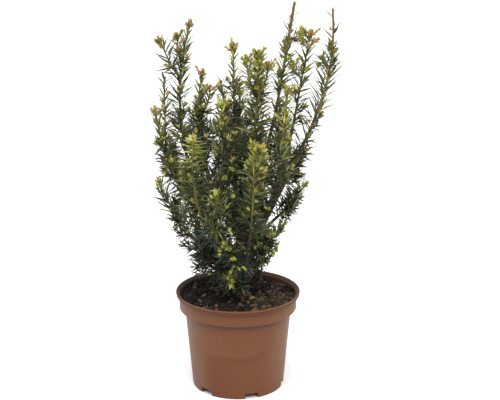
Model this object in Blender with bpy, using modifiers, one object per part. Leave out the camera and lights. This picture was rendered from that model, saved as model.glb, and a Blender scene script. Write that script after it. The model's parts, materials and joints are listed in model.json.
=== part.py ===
"""A young English yew in a round nursery pot.

Metres, +Z up, and -Y is the plant's front. All sizes are measured from the middle of the pot's
underside. At the end the whole plant is moved by POT_PLACE, which brings the middle of its box's
underside to the origin, because the crown leans to the right and reaches back.
The pot is a thin turned shell with a lip, a collar and a notched foot ring, filled with soil.
A short trunk stands on the soil and forks into limbs. Each leader leaves the trunk, or another
leader, and sweeps up to its tip: its lower run is a bare limb, and from where it enters its
foliage it is the stem of one mass of needle sprays.
"""

import math
import random
from dataclasses import dataclass

import bmesh
import bpy
import numpy as np
from mathutils import Matrix, Vector
from mathutils.bvhtree import BVHTree
from mathutils.geometry import tessellate_polygon

GAP = 0.0003  # what touching pieces keep between them
POT_PLACE = Vector((-0.0152, -0.0061, 0.0))  # where the pot's axis stands

# Pot
POT_HEIGHT = 0.151
POT_SEGMENTS = 40
WALL = 0.0015
LIP_RADIUS = 0.095
LIP_DEPTH = 0.0045
LIP_ROUND = 0.0008
COLLAR_RADIUS = 0.0897
COLLAR_FOOT = 0.1250
COLLAR_CHAMFER = 0.0025
BODY_TOP_RADIUS = 0.0815
BODY_FOOT_RADIUS = 0.0705
FLOOR_UNDERSIDE = 0.0092
FLOOR_THICKNESS = 0.0018
FOOT_RING_WIDTH = 0.0030
NOTCHES = 6
NOTCH_WIDTH = 0.0175
NOTCH_HEIGHT = 0.0085
FIRST_NOTCH_DEG = -73.0  # measured from +X, so this notch is a little right of the front

# Soil
SOIL_LEVEL = 0.1405

# Trunk
TRUNK_FOOT = Vector((0.008, 0.0, SOIL_LEVEL + GAP))
TRUNK_TOP = Vector((0.003, 0.004, 0.184))
TRUNK_FLARE_RADIUS = 0.0125
TRUNK_RADIUS = 0.0085
TRUNK_TOP_RADIUS = 0.0068
TRUNK_FLARE_HEIGHT = 0.012

# Growth
GOLDEN_ANGLE = math.radians(137.5)
TRIES = 7  # how many ways round its leader a side shoot looks for room
SPRAY_ROLL_DEG = 48.0  # how far a spray is turned about its own rib, one way and then the other
TWIG_TIP_RADIUS = 0.0011
LIMB_STEP = 0.022  # length of one straight facet of a limb
STEM_STEP = 0.036
BARE_LIMIT = 0.10  # a leader that enters its foliage before this share has no limb of its own
NEEDLE_LENGTH = 0.025
NEEDLE_THICKNESS = 0.0011
NEEDLE_PITCH = 0.0120  # distance between the teeth of a spray
NEEDLE_FORWARD_DEG = 56.0  # between a needle and its spray's rib, at the foot of the spray
NEEDLE_FORWARD_TIP_DEG = 34.0  # and at its tip
NEEDLE_VALLEY = 0.40  # how far out the notch between two teeth is, as a share of the teeth
SPRAY_RIB = 0.0011
SPRAY_END = 0.011  # its last needle, beyond its tip
SPRAY_BARE = 0.006  # the foot of a spray, which has no needles
SPRAY_FULLNESS = 0.55  # the share of its needles that a spray needs to have room for
MOST_CROSSINGS = 3  # pairs of faces in which a spray may cross the sprays before it
SPRAY_CLEARANCE = 0.0018  # between the needles of one spray and those of the next
STEM_CLEARANCE = 0.0014
CROWN_RIB = 0.0009
CROWN_THICKNESS = 0.0016
CROWN_BARE = 0.003
CROWN_END = 0.004  # its last needle, beyond the leader's tip
CROWN_SUNK = 0.0015  # how far a leader's needled top is sunk in its stem
SPRAY_LIFT = 0.16  # how far a spray's tip curves up, as a share of its length
NEEDLE_LIFT = 0.22  # how steeply the needles of a spray rise on both sides of its rib
LEADER_TWIST = math.radians(170.0)  # how far the needles of a leader turn round it up to its tip
SPACE_MARGIN = 0.0024  # a needle keeps this much nearer to its own stems than to any other's
LIMB_CLEARANCE = 0.0024
SOIL_CLEARANCE = 0.0030

# How far the crown reaches to the left, to the right, and to the front and back, at a few heights
CROWN_REACH = (
    (0.150, -0.070, 0.044, 0.086),
    (0.200, -0.090, 0.062, 0.096),
    (0.260, -0.110, 0.090, 0.106),
    (0.300, -0.128, 0.110, 0.112),
    (0.400, -0.132, 0.132, 0.120),
    (0.500, -0.130, 0.166, 0.114),
    (0.620, -0.126, 0.172, 0.094),
)
CROWN_SQUARENESS = 3.0  # 2 is an oval in plan, and more is squarer


@dataclass(frozen=True)
class Leader:
    """One leading shoot, from where it leaves its parent to its tip."""

    name: str
    parent: str
    at: float  # share of the parent's run where it leaves
    tip: tuple
    leave: float  # degrees from upright where it leaves, towards its tip
    finish: float  # degrees from upright at its tip, positive outwards
    enter: float  # share of its run where its foliage starts; 0 is a fork inside the parent's mass
    radius: float  # at its foot
    spray: float  # length of its longest side shoot
    sprays: int
    crown: float  # length of its top run that carries needles of its own


LEADERS = (
    Leader("right_tall", "trunk", 0.72, (0.138, 0.015, 0.575), 17, 0, 0.40, 0.0062, 0.050, 9, 0.070),
    Leader("left_tall", "trunk", 0.86, (-0.069, 0.000, 0.560), 34, -16, 0.42, 0.0046, 0.044, 7, 0.060),
    Leader("middle_front", "trunk", 0.98, (0.031, -0.040, 0.526), 14, 4, 0.38, 0.0044, 0.044, 7, 0.055),
    Leader("middle_back", "trunk", 0.90, (-0.006, 0.045, 0.516), 20, 2, 0.40, 0.0042, 0.044, 6, 0.055),
    Leader("front_left", "trunk", 0.62, (-0.063, -0.070, 0.409), 46, 0, 0.36, 0.0040, 0.050, 6, 0.055),
    Leader("front_right", "trunk", 0.50, (0.021, -0.075, 0.404), 34, -6, 0.34, 0.0036, 0.044, 5, 0.055),
    Leader("back_middle", "trunk", 0.55, (0.003, 0.095, 0.440), 36, 0, 0.36, 0.0044, 0.050, 6, 0.055),
    Leader("left_low", "trunk", 0.44, (-0.116, -0.015, 0.323), 52, 22, 0.30, 0.0036, 0.046, 5, 0.050),
    Leader("right_foot", "trunk", 0.40, (0.071, -0.020, 0.264), 50, 24, 0.30, 0.0030, 0.040, 5, 0.045),
    Leader("front_foot", "trunk", 0.30, (-0.012, -0.060, 0.188), 62, 66, 0.06, 0.0026, 0.036, 4, 0.050),
    Leader("right_inner", "middle_back", 0.24, (0.083, 0.020, 0.584), 30, 4, 0.44, 0.0036, 0.040, 5, 0.070),
    Leader("right_middle", "right_tall", 0.26, (0.112, -0.015, 0.547), 20, 12, 0.44, 0.0034, 0.038, 6, 0.070),
    Leader("right_low", "right_tall", 0.16, (0.101, 0.000, 0.316), 50, 36, 0.34, 0.0030, 0.042, 5, 0.045),
    Leader("right_centre", "right_tall", 0.20, (0.067, -0.045, 0.428), 28, 0, 0.36, 0.0030, 0.040, 5, 0.050),
    Leader("right_back", "right_tall", 0.30, (0.098, 0.045, 0.365), 30, 10, 0.30, 0.0028, 0.042, 4, 0.045),
    Leader("left_inner", "left_tall", 0.30, (-0.051, 0.030, 0.486), 22, 0, 0.36, 0.0032, 0.040, 5, 0.050),
    Leader("left_outer", "left_tall", 0.22, (-0.118, -0.015, 0.430), 44, 0, 0.40, 0.0032, 0.042, 6, 0.050),
    Leader("left_back", "left_tall", 0.16, (-0.104, 0.045, 0.376), 46, 6, 0.36, 0.0030, 0.044, 5, 0.050),
    Leader("centre", "middle_front", 0.26, (-0.022, -0.024, 0.442), 22, 0, 0.30, 0.0030, 0.042, 6, 0.050),
    Leader("back_left", "back_middle", 0.20, (-0.062, 0.085, 0.421), 40, 0, 0.36, 0.0030, 0.048, 5, 0.055),
    Leader("back_right", "back_middle", 0.26, (0.064, 0.085, 0.424), 40, 0, 0.36, 0.0030, 0.048, 5, 0.055),
    Leader("back_low", "back_middle", 0.12, (0.012, 0.104, 0.290), 56, 24, 0.30, 0.0026, 0.048, 4, 0.050),
    Leader("front_middle", "front_left", 0.22, (-0.031, -0.082, 0.324), 34, 6, 0.30, 0.0026, 0.040, 4, 0.050),
    Leader("front_low", "front_right", 0.16, (-0.018, -0.074, 0.246), 52, 34, 0.06, 0.0022, 0.038, 4, 0.045),
    Leader("left_tall_outer", "left_tall", 0.80, (-0.111, -0.010, 0.532), 40, 26, 0.0, 0.0018, 0.026, 1, 0.045),
    Leader("left_tall_inner", "left_tall", 0.84, (-0.087, 0.010, 0.534), 24, 0, 0.0, 0.0017, 0.020, 0, 0.035),
    Leader("left_outer_top", "left_outer", 0.66, (-0.106, -0.005, 0.478), 8, 0, 0.0, 0.0018, 0.024, 1, 0.045),
    Leader("left_inner_low", "left_inner", 0.62, (-0.040, 0.012, 0.459), 30, 4, 0.0, 0.0018, 0.028, 1, 0.045),
    Leader("middle_back_low", "middle_back", 0.64, (-0.024, 0.032, 0.467), 34, 4, 0.0, 0.0018, 0.028, 1, 0.045),
    Leader("middle_front_outer", "middle_front", 0.80, (0.045, -0.045, 0.501), 32, 10, 0.0, 0.0018, 0.024, 1, 0.040),
    Leader("middle_front_inner", "middle_front", 0.82, (0.014, -0.047, 0.509), 30, 0, 0.0, 0.0017, 0.022, 0, 0.040),
    Leader("right_inner_fork", "right_inner", 0.84, (0.094, 0.028, 0.541), 34, -4, 0.0, 0.0018, 0.020, 1, 0.035),
    Leader("right_middle_fork", "right_middle", 0.76, (0.084, -0.020, 0.503), 28, 4, 0.0, 0.0017, 0.022, 0, 0.040),
    Leader("right_tall_fork", "right_tall", 0.80, (0.122, 0.000, 0.508), 26, -4, 0.0, 0.0018, 0.024, 1, 0.035),
    Leader("right_centre_fork", "right_centre", 0.60, (0.080, -0.030, 0.463), 22, 10, 0.0, 0.0018, 0.026, 1, 0.045),
    Leader("front_right_fork", "front_right", 0.70, (0.037, -0.070, 0.388), 34, 6, 0.0, 0.0018, 0.026, 0, 0.040),
    Leader("left_foot", "trunk", 0.34, (-0.062, 0.012, 0.236), 56, 34, 0.06, 0.0024, 0.040, 5, 0.045),
    Leader("back_foot", "trunk", 0.32, (0.030, 0.066, 0.218), 58, 40, 0.06, 0.0024, 0.044, 4, 0.045),
    Leader("front_core", "front_right", 0.30, (-0.026, -0.046, 0.350), 26, 0, 0.05, 0.0024, 0.038, 5, 0.050),
    Leader("middle_core", "middle_front", 0.12, (0.040, -0.016, 0.352), 30, 4, 0.05, 0.0024, 0.040, 5, 0.050),
    Leader("left_core", "left_tall", 0.20, (-0.066, -0.020, 0.352), 26, 4, 0.05, 0.0024, 0.040, 5, 0.050),
    Leader("back_core", "middle_back", 0.14, (-0.024, 0.053, 0.374), 30, 4, 0.05, 0.0024, 0.040, 4, 0.050),
)


@dataclass
class Run:
    """A leader's worked-out centre line, with its radius at each point."""

    leader: Leader
    points: list
    radii: list

    def at(self, share):
        """The point, unit tangent and radius at this share of the run."""
        place = min(max(share, 0.0), 1.0) * (len(self.points) - 1)
        index = min(int(place), len(self.points) - 2)
        part = place - index
        a, b = self.points[index], self.points[index + 1]
        radius = self.radii[index] + (self.radii[index + 1] - self.radii[index]) * part
        return a.lerp(b, part), (b - a).normalized(), radius

    def length(self, first=0.0, last=1.0):
        """How long the run is between two shares."""
        steps = 40
        spots = [self.at(first + (last - first) * i / steps)[0] for i in range(steps + 1)]
        return sum((b - a).length for a, b in zip(spots, spots[1:]))

    def crown(self):
        """The length of the top run that carries needles of its own."""
        return min(self.leader.crown, 0.85 * self.length())

    def slice(self, first, last, step):
        """Points and radii from one share to another, evenly spaced, with facets about a step long."""
        count = max(2, round(self.length(first, last) / step))
        spots = [self.at(first + (last - first) * i / count) for i in range(count + 1)]
        return [s[0] for s in spots], [s[2] for s in spots]


def clear_scene():
    for obj in list(bpy.data.objects):
        bpy.data.objects.remove(obj)


def collection(name):
    made = bpy.data.collections.new(name)
    bpy.context.scene.collection.children.link(made)
    return made


def finish(name, colour, roughness, metallic=0.0):
    material = bpy.data.materials.new(name)
    material.use_nodes = True
    shader = material.node_tree.nodes["Principled BSDF"]
    shader.inputs["Base Color"].default_value = (*colour, 1.0)
    shader.inputs["Roughness"].default_value = roughness
    shader.inputs["Metallic"].default_value = metallic
    return material


def add_object(name, mesh, material, group):
    obj = bpy.data.objects.new(name, mesh)
    mesh.materials.clear()
    mesh.materials.append(material)
    group.objects.link(obj)
    return obj


def solid_mesh(obj):
    """The evaluated mesh of an object, with its caps welded, and the object removed."""
    bpy.context.view_layer.update()
    graph = bpy.context.evaluated_depsgraph_get()
    mesh = bpy.data.meshes.new_from_object(obj.evaluated_get(graph))
    mesh.transform(obj.matrix_world)
    bpy.data.objects.remove(obj)
    bm = bmesh.new()
    bm.from_mesh(mesh)
    bmesh.ops.remove_doubles(bm, verts=bm.verts, dist=1e-5)
    bmesh.ops.recalc_face_normals(bm, faces=bm.faces)
    bm.to_mesh(mesh)
    bm.free()
    return mesh


def tube(name, points, radii, sides, group):
    """A tapering tube round a line of points, as a mesh with flat closed ends."""
    curve = bpy.data.curves.new(name, "CURVE")
    curve.dimensions = "3D"
    curve.bevel_depth = 1.0
    curve.bevel_resolution = (sides - 4) // 2
    curve.use_fill_caps = True
    spline = curve.splines.new("POLY")
    spline.points.add(len(points) - 1)
    for slot, point, radius in zip(spline.points, points, radii):
        slot.co = (*point, 1.0)
        slot.radius = radius
    obj = bpy.data.objects.new(name, curve)
    group.objects.link(obj)
    return solid_mesh(obj)


def flat_outline(name, outline, thickness, group):
    """A flat solid of this outline, as a mesh in the XY plane, centred on it."""
    curve = bpy.data.curves.new(name, "CURVE")
    curve.dimensions = "2D"
    curve.fill_mode = "BOTH"
    curve.extrude = thickness / 2
    spline = curve.splines.new("POLY")
    spline.points.add(len(outline) - 1)
    for slot, (x, y) in zip(spline.points, outline):
        slot.co = (x, y, 0.0, 1.0)
    spline.use_cyclic_u = True
    obj = bpy.data.objects.new(name, curve)
    group.objects.link(obj)
    return solid_mesh(obj)


def boolean(obj, operation, cutters, solver):
    """Applies one Boolean of a collection to an object, and removes what the collection holds."""
    modifier = obj.modifiers.new(operation.title(), "BOOLEAN")
    modifier.operation = operation
    modifier.operand_type = "COLLECTION"
    modifier.collection = cutters
    modifier.solver = solver
    bpy.context.view_layer.update()
    graph = bpy.context.evaluated_depsgraph_get()
    mesh = bpy.data.meshes.new_from_object(obj.evaluated_get(graph))
    obj.modifiers.clear()
    obj.data = mesh
    for cutter in list(cutters.objects):
        bpy.data.objects.remove(cutter)


def keep_largest_body(mesh):
    """Drops the scraps that a Boolean leaves, and fills a hollow that it seals."""
    bm = bmesh.new()
    bm.from_mesh(mesh)
    bmesh.ops.triangulate(bm, faces=bm.faces)
    left = set(bm.faces)
    bodies = []
    while left:
        body = {left.pop()}
        front = list(body)
        while front:
            for edge in front.pop().edges:
                for face in edge.link_faces:
                    if face in left:
                        left.discard(face)
                        body.add(face)
                        front.append(face)
        volume = sum(f.verts[0].co.dot(f.verts[1].co.cross(f.verts[2].co)) for f in body)
        bodies.append((volume, body))
    largest = max(bodies, key=lambda pair: pair[0])[1]
    bmesh.ops.delete(bm, geom=[f for f in bm.faces if f not in largest], context="FACES")
    bm.to_mesh(mesh)
    bm.free()


def shade_round(obj, degrees=35.0):
    obj.data.shade_smooth()
    obj.data.set_sharp_from_angle(angle=math.radians(degrees))


def turned(name, profile, material, group):
    """A solid turned from a profile of radius and height that starts and ends on the axis."""
    mesh = bpy.data.meshes.new(name)
    mesh.from_pydata([(r, 0.0, z) for r, z in profile], [(i, i + 1) for i in range(len(profile) - 1)], [])
    obj = bpy.data.objects.new(name, mesh)
    group.objects.link(obj)
    screw = obj.modifiers.new("Screw", "SCREW")
    screw.steps = POT_SEGMENTS
    screw.render_steps = POT_SEGMENTS
    screw.use_merge_vertices = True
    screw.merge_threshold = 0.0001
    obj = add_object(name, solid_mesh(obj), material, group)
    shade_round(obj)
    return obj


def body_radius(z):
    """The pot's outer radius at this height of its tapered body."""
    return BODY_FOOT_RADIUS + (BODY_TOP_RADIUS - BODY_FOOT_RADIUS) * z / COLLAR_FOOT


def make_pot(material, group, cutters):
    floor_top = FLOOR_UNDERSIDE + FLOOR_THICKNESS
    inner_shoulder = COLLAR_FOOT + WALL
    profile = [
        (0.0, floor_top),
        (body_radius(floor_top) - WALL, floor_top),
        (BODY_TOP_RADIUS - WALL, inner_shoulder),
        (COLLAR_RADIUS - WALL - COLLAR_CHAMFER, inner_shoulder),
        (COLLAR_RADIUS - WALL, inner_shoulder + COLLAR_CHAMFER),
        (COLLAR_RADIUS - WALL, POT_HEIGHT - LIP_DEPTH),
        (COLLAR_RADIUS, POT_HEIGHT - LIP_ROUND),
        (COLLAR_RADIUS + LIP_ROUND, POT_HEIGHT),
        (LIP_RADIUS - LIP_ROUND, POT_HEIGHT),
        (LIP_RADIUS, POT_HEIGHT - LIP_ROUND),
        (LIP_RADIUS, POT_HEIGHT - LIP_DEPTH + LIP_ROUND),
        (LIP_RADIUS - LIP_ROUND, POT_HEIGHT - LIP_DEPTH),
        (COLLAR_RADIUS, POT_HEIGHT - LIP_DEPTH - LIP_ROUND),
        (COLLAR_RADIUS, COLLAR_FOOT + COLLAR_CHAMFER),
        (COLLAR_RADIUS - COLLAR_CHAMFER, COLLAR_FOOT),
        (BODY_TOP_RADIUS, COLLAR_FOOT - COLLAR_CHAMFER / 2),
        (BODY_FOOT_RADIUS, 0.0),
        (BODY_FOOT_RADIUS - FOOT_RING_WIDTH, 0.0),
        (body_radius(FLOOR_UNDERSIDE) - FOOT_RING_WIDTH, FLOOR_UNDERSIDE),
        (0.0, FLOOR_UNDERSIDE),
    ]
    pot = turned("pot", profile, material, group)
    for index in range(NOTCHES):
        angle = math.radians(FIRST_NOTCH_DEG + 360.0 * index / NOTCHES)
        turn = Matrix.Rotation(angle, 4, "Z")
        bm = bmesh.new()
        bmesh.ops.create_cube(bm, size=1.0)
        depth = 4 * FOOT_RING_WIDTH
        shape = Matrix.Diagonal((depth, NOTCH_WIDTH, 2 * NOTCH_HEIGHT, 1.0))
        bm.transform(turn @ Matrix.Translation((BODY_FOOT_RADIUS, 0.0, 0.0)) @ shape)
        mesh = bpy.data.meshes.new("notch_cutter")
        bm.to_mesh(mesh)
        bm.free()
        cutter = bpy.data.objects.new("notch_cutter", mesh)
        cutter.hide_render = True
        cutters.objects.link(cutter)
    boolean(pot, "DIFFERENCE", cutters, "EXACT")
    shade_round(pot)
    return pot


def make_soil(material, group):
    foot = FLOOR_UNDERSIDE + FLOOR_THICKNESS + GAP
    shoulder = COLLAR_FOOT + WALL + GAP
    inside = WALL + GAP
    profile = [
        (0.0, SOIL_LEVEL),
        (COLLAR_RADIUS - inside, SOIL_LEVEL),
        (COLLAR_RADIUS - inside, shoulder + COLLAR_CHAMFER),
        (COLLAR_RADIUS - inside - COLLAR_CHAMFER, shoulder),
        (BODY_TOP_RADIUS - inside, shoulder),
        (body_radius(foot) - inside, foot),
        (0.0, foot),
    ]
    return turned("soil", profile, material, group)


def trunk_line():
    """The trunk's centre line and radii: a flared foot, then an even taper with a slight lean."""
    points, radii = [], []
    steps = 6
    for index in range(steps + 1):
        share = index / steps
        height = TRUNK_FOOT.z + (TRUNK_TOP.z - TRUNK_FOOT.z) * share
        lean = share * share
        points.append(Vector((
            TRUNK_FOOT.x + (TRUNK_TOP.x - TRUNK_FOOT.x) * lean,
            TRUNK_FOOT.y + (TRUNK_TOP.y - TRUNK_FOOT.y) * lean,
            height,
        )))
        flare = math.exp(-(height - TRUNK_FOOT.z) / (TRUNK_FLARE_HEIGHT / 2))
        plain = TRUNK_RADIUS + (TRUNK_TOP_RADIUS - TRUNK_RADIUS) * share
        radii.append(plain + (TRUNK_FLARE_RADIUS - TRUNK_RADIUS) * flare)
    # The first facet is upright, so that the foot is cut level.
    points[1].x, points[1].y = points[0].x, points[0].y
    return Run(None, points, radii)


def leader_line(leader, start, steps=24):
    """The centre line of a leader: it leaves its parent leaning towards its tip, and sweeps upright."""
    tip = Vector(leader.tip)
    away = Vector((tip.x - start.x, tip.y - start.y, 0.0)).normalized()
    leave, end = math.radians(leader.leave), math.radians(leader.finish)
    reach = 0.36 * (tip - start).length
    first = start + reach * (away * math.sin(leave) + Vector((0, 0, math.cos(leave))))
    second = tip - reach * (away * math.sin(end) + Vector((0, 0, math.cos(end))))
    points, radii = [], []
    for index in range(steps + 1):
        t = index / steps
        u = 1 - t
        points.append(u**3 * start + 3 * u * u * t * first + 3 * u * t * t * second + t**3 * tip)
        radii.append(leader.radius + (TWIG_TIP_RADIUS - leader.radius) * t**0.85)
    return Run(leader, points, radii)


def grow_runs():
    """Every leader's run by name, with the trunk's."""
    runs = {"trunk": trunk_line()}
    for leader in LEADERS:
        start = runs[leader.parent].at(leader.at)[0]
        runs[leader.name] = leader_line(leader, start)
    return runs


def mass_of(leader):
    """The leader whose mass this one belongs to."""
    return leader.parent if leader.enter == 0.0 else leader.name


def in_crown(spots):
    """Whether each spot is inside the crown's reach, a rounded oval at every height."""
    heights, lefts, rights, depths = np.array(CROWN_REACH).T
    left, right, depth = (np.interp(spots[:, 2], heights, row) for row in (lefts, rights, depths))
    across = np.abs(spots[:, 0] - (left + right) / 2) / ((right - left) / 2)
    return across**CROWN_SQUARENESS + (np.abs(spots[:, 1]) / depth) ** CROWN_SQUARENESS <= 1.0


class Space:
    """Which mass each place belongs to, and where the limbs are."""

    def __init__(self, runs):
        stems, owners, limbs, girths = [], [], [], []
        for name, run in runs.items():
            if name == "trunk":
                points, radii = run.slice(0.0, 1.0, 0.004)
                limbs += points
                girths += radii
                continue
            points, radii = run.slice(0.0, 1.0, 0.004)
            for index, (point, radius) in enumerate(zip(points, radii)):
                if index / (len(points) - 1) < run.leader.enter:
                    limbs.append(point)
                    girths.append(radius)
                else:
                    stems.append(point)
                    owners.append(mass_of(run.leader))
        self.stems = np.array(stems)
        self.owners = np.array(owners)
        self.limbs = np.array(limbs)
        self.girths = np.array(girths)
        self.taken, self.room = np.zeros((0, 3)), np.zeros(0)

    def clear(self):
        """Forgets what the last mass placed."""
        self.taken, self.room = np.zeros((0, 3)), np.zeros(0)

    def place(self, spots, room):
        """Marks places of the mass that is being made, with the room that other sprays leave round them."""
        self.taken = np.concatenate([self.taken, np.array(spots)])
        self.room = np.concatenate([self.room, np.array(room)])

    def holds(self, mass, spots):
        """True if every spot is in this mass's own space, clear of the limbs, the soil and the pot."""
        spots = np.array(spots)
        if not in_crown(spots).all():
            return False
        away = np.linalg.norm(self.stems[None] - spots[:, None], axis=2)
        own = self.owners == mass
        if (away[:, own].min(axis=1) + SPACE_MARGIN > away[:, ~own].min(axis=1)).any():
            return False
        off = np.linalg.norm(self.limbs[None] - spots[:, None], axis=2) - self.girths
        if (off.min(axis=1) < LIMB_CLEARANCE).any():
            return False
        if len(self.taken):
            off = np.linalg.norm(self.taken[None] - spots[:, None], axis=2) - self.room
            if (off < 0.0).any():
                return False
        low = spots[:, 2] < SOIL_LEVEL + SOIL_CLEARANCE
        wide = np.hypot(spots[:, 0], spots[:, 1]) > COLLAR_RADIUS - LIMB_CLEARANCE
        over_lip = spots[:, 2] < POT_HEIGHT + SOIL_CLEARANCE
        return not (low | (wide & over_lip)).any()


def spray_frame(direction):
    """A turn that takes +X along a direction, and +Z as near to upright as it can be."""
    side = Vector((0, 0, 1)).cross(direction)
    if side.length < 0.05:
        side = Vector((0, 1, 0))
    side.normalize()
    normal = direction.cross(side).normalized()
    return Matrix((direction, side, normal)).transposed()


def on_shoot(root, direction, length, roll):
    """What takes a flat spray's (x, y, z) to its place on a side shoot, rolled, curved up and folded."""
    place = Matrix.Translation(root) @ spray_frame(direction).to_4x4()
    turn = Matrix.Rotation(roll, 4, "X")

    def put(x, y, z):
        fold = NEEDLE_LIFT * max(0.0, abs(y) - SPRAY_RIB)
        rise = Vector((0.0, 0.0, SPRAY_LIFT * x * x / length))
        return place @ (turn @ Vector((x, y, z + fold)) + rise)

    return put


def on_leader(run, length, turn):
    """What takes a flat spray's (x, y, z) to its place round the top of a leader, turning round it."""
    whole = run.length()

    def put(x, y, z):
        past = x - CROWN_SUNK
        point, tangent, radius = run.at(1.0 - (length - past) / whole)
        side = Vector((0, 1, 0)).cross(tangent).normalized()
        side = Matrix.Rotation(turn + LEADER_TWIST * x / length, 3, tangent) @ side
        over = max(0.0, past - length)
        return point + tangent * over + side * y + tangent.cross(side) * z

    return put


class Spray:
    """One spray: a toothed blade whose teeth are its needles. A needle that has no room is left out."""

    def __init__(self, length, largest, bare, rib, thickness, beyond, put):
        self.length, self.largest, self.bare, self.beyond = length, largest, bare, beyond
        self.rib, self.thickness, self.put = rib, thickness, put
        self.spots = [put(length * k / 8, 0.0, 0.0) for k in range(1, 10)]
        self.outline, self.full = [], 0.0

    def needle(self, index, count, hand, shorter):
        """One needle in the flat plane: the middle of its foot, its tip and the notch behind it."""
        pitch = (self.length - self.bare) / count
        share = (index + 0.5) / count
        forward = NEEDLE_FORWARD_DEG + (NEEDLE_FORWARD_TIP_DEG - NEEDLE_FORWARD_DEG) * share
        along, out = math.cos(math.radians(forward)), math.sin(math.radians(forward))
        size = shorter * self.largest * (0.5 + 0.5 * math.sin(math.pi * (0.28 + 0.66 * share)))
        foot = self.bare + pitch * index
        middle = foot + pitch / 2
        notch = NEEDLE_VALLEY * size
        return (
            (middle, hand * self.rib),
            (middle + size * along, hand * (self.rib + size * out)),
            (foot + notch * along, hand * (self.rib + notch * out)),
        )

    def side(self, hand, holds):
        """One side of the outline from foot to tip, with each needle at the largest size that fits."""
        count = max(1, round((self.length - self.bare) / NEEDLE_PITCH))
        line, before, grown = [], False, 0
        for index in range(count):
            foot = (self.bare + (self.length - self.bare) * index / count, hand * self.rib)
            fits = False
            for shorter in (1.0, 0.78, 0.56):
                root, tip, notch = self.needle(index, count, hand, shorter)
                spots = [self.put(root[0] + (tip[0] - root[0]) * k / 7, root[1] + (tip[1] - root[1]) * k / 7, 0.0)
                         for k in range(1, 8)]
                if holds(spots):
                    fits = True
                    break
            if fits:
                line += [notch if before else foot, tip]
                self.spots += spots
                grown += 1
            elif before:
                line.append(foot)
            before = fits
        if before:
            line.append((self.length, hand * self.rib))
        self.full += grown / count / 2
        return line

    def fit(self, holds):
        """Works out which needles there is room for."""
        left, right = self.side(-1, holds), self.side(1, holds)
        end = (self.length + self.beyond, 0.0)
        self.outline = [(0.0, -self.rib), *left, end, *reversed(right), (0.0, self.rib)]
        return self.full

    def tree(self):
        """The blade's middle and both its faces, a little outside it, to find what it would cross."""
        flat = [Vector((x, y, 0.0)) for x, y in self.outline]
        triangles = tessellate_polygon([flat])
        points, faces = [], []
        for z in (-self.thickness, 0.0, self.thickness):
            faces += [[len(points) + i for i in face] for face in triangles]
            points += [self.put(x, y, z) for x, y in self.outline]
        return BVHTree.FromPolygons(points, faces)

    def mesh(self, name, group):
        """The blade, in its place."""
        mesh = flat_outline(name, self.outline, self.thickness, group)
        for vertex in mesh.vertices:
            vertex.co = self.put(*vertex.co)
        return mesh


def seed_of(leader):
    """A leader's own seed, from its name."""
    return sum(ord(letter) for letter in leader.name)


def side_shoots(run):
    """The side shoots of a leader by the growing rule: for each, the ways it can go, as spray placings."""
    leader = run.leader
    chance = random.Random(seed_of(leader))
    first = leader.enter + (0.04 if leader.enter > BARE_LIMIT else 0.14)
    last = 1.0 - 0.75 * run.crown() / run.length()
    turn = chance.uniform(0.0, 2 * math.pi)
    for index in range(leader.sprays):
        share = (index + chance.uniform(0.2, 0.8)) / leader.sprays
        root, tangent, radius = run.at(first + (last - first) * share)
        side = tangent.cross(Vector((0, 1, 0))).normalized()
        lean = math.radians(58 - 18 * share)
        length = leader.spray * (1.0 - 0.45 * share) * chance.uniform(0.85, 1.1)
        roll = math.radians(SPRAY_ROLL_DEG + chance.uniform(-12, 12)) * (1 if index % 2 else -1)
        ways = []
        for shorter in (1.0, 0.8, 0.64, 0.5):
            for attempt in range(TRIES):
                across = Matrix.Rotation(turn + attempt * 2 * math.pi / TRIES, 3, tangent) @ side
                direction = (tangent * math.cos(lean) + across * math.sin(lean)).normalized()
                size = length * shorter
                ways.append((size, on_shoot(root, direction, size, roll)))
        turn += GOLDEN_ANGLE
        yield ways


def cut_foot(obj, points, earlier, material, cutters):
    """Cuts an object's foot to sit on the limbs that carry it or run close by."""
    for other in earlier:
        line, girth = other.points, other.radii
        if other.leader:
            line, girth = other.slice(0.0, other.leader.enter, LIMB_STEP)
        nearest = min((a - b).length - r for a in points for b, r in zip(line, girth))
        if nearest > LIMB_STEP:
            continue
        sides = 10 if other.leader is None else 6
        guide = tube("limb_cutter", line, [r + GAP for r in girth], sides, cutters)
        cutter = add_object("limb_cutter", guide, material, cutters)
        cutter.hide_render = True
    boolean(obj, "DIFFERENCE", cutters, "MANIFOLD")
    keep_largest_body(obj.data)


def make_limb(run, material, group, cutters, earlier):
    """A leader's bare lower run: one tapering limb, its foot cut to sit on what carries it."""
    name = run.leader.name
    points, radii = run.slice(0.0, run.leader.enter, LIMB_STEP)
    obj = add_object(f"limb_{name}", tube(name, points, radii, 6, group), material, group)
    cut_foot(obj, points, earlier, material, cutters)
    shade_round(obj)
    return obj


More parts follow.
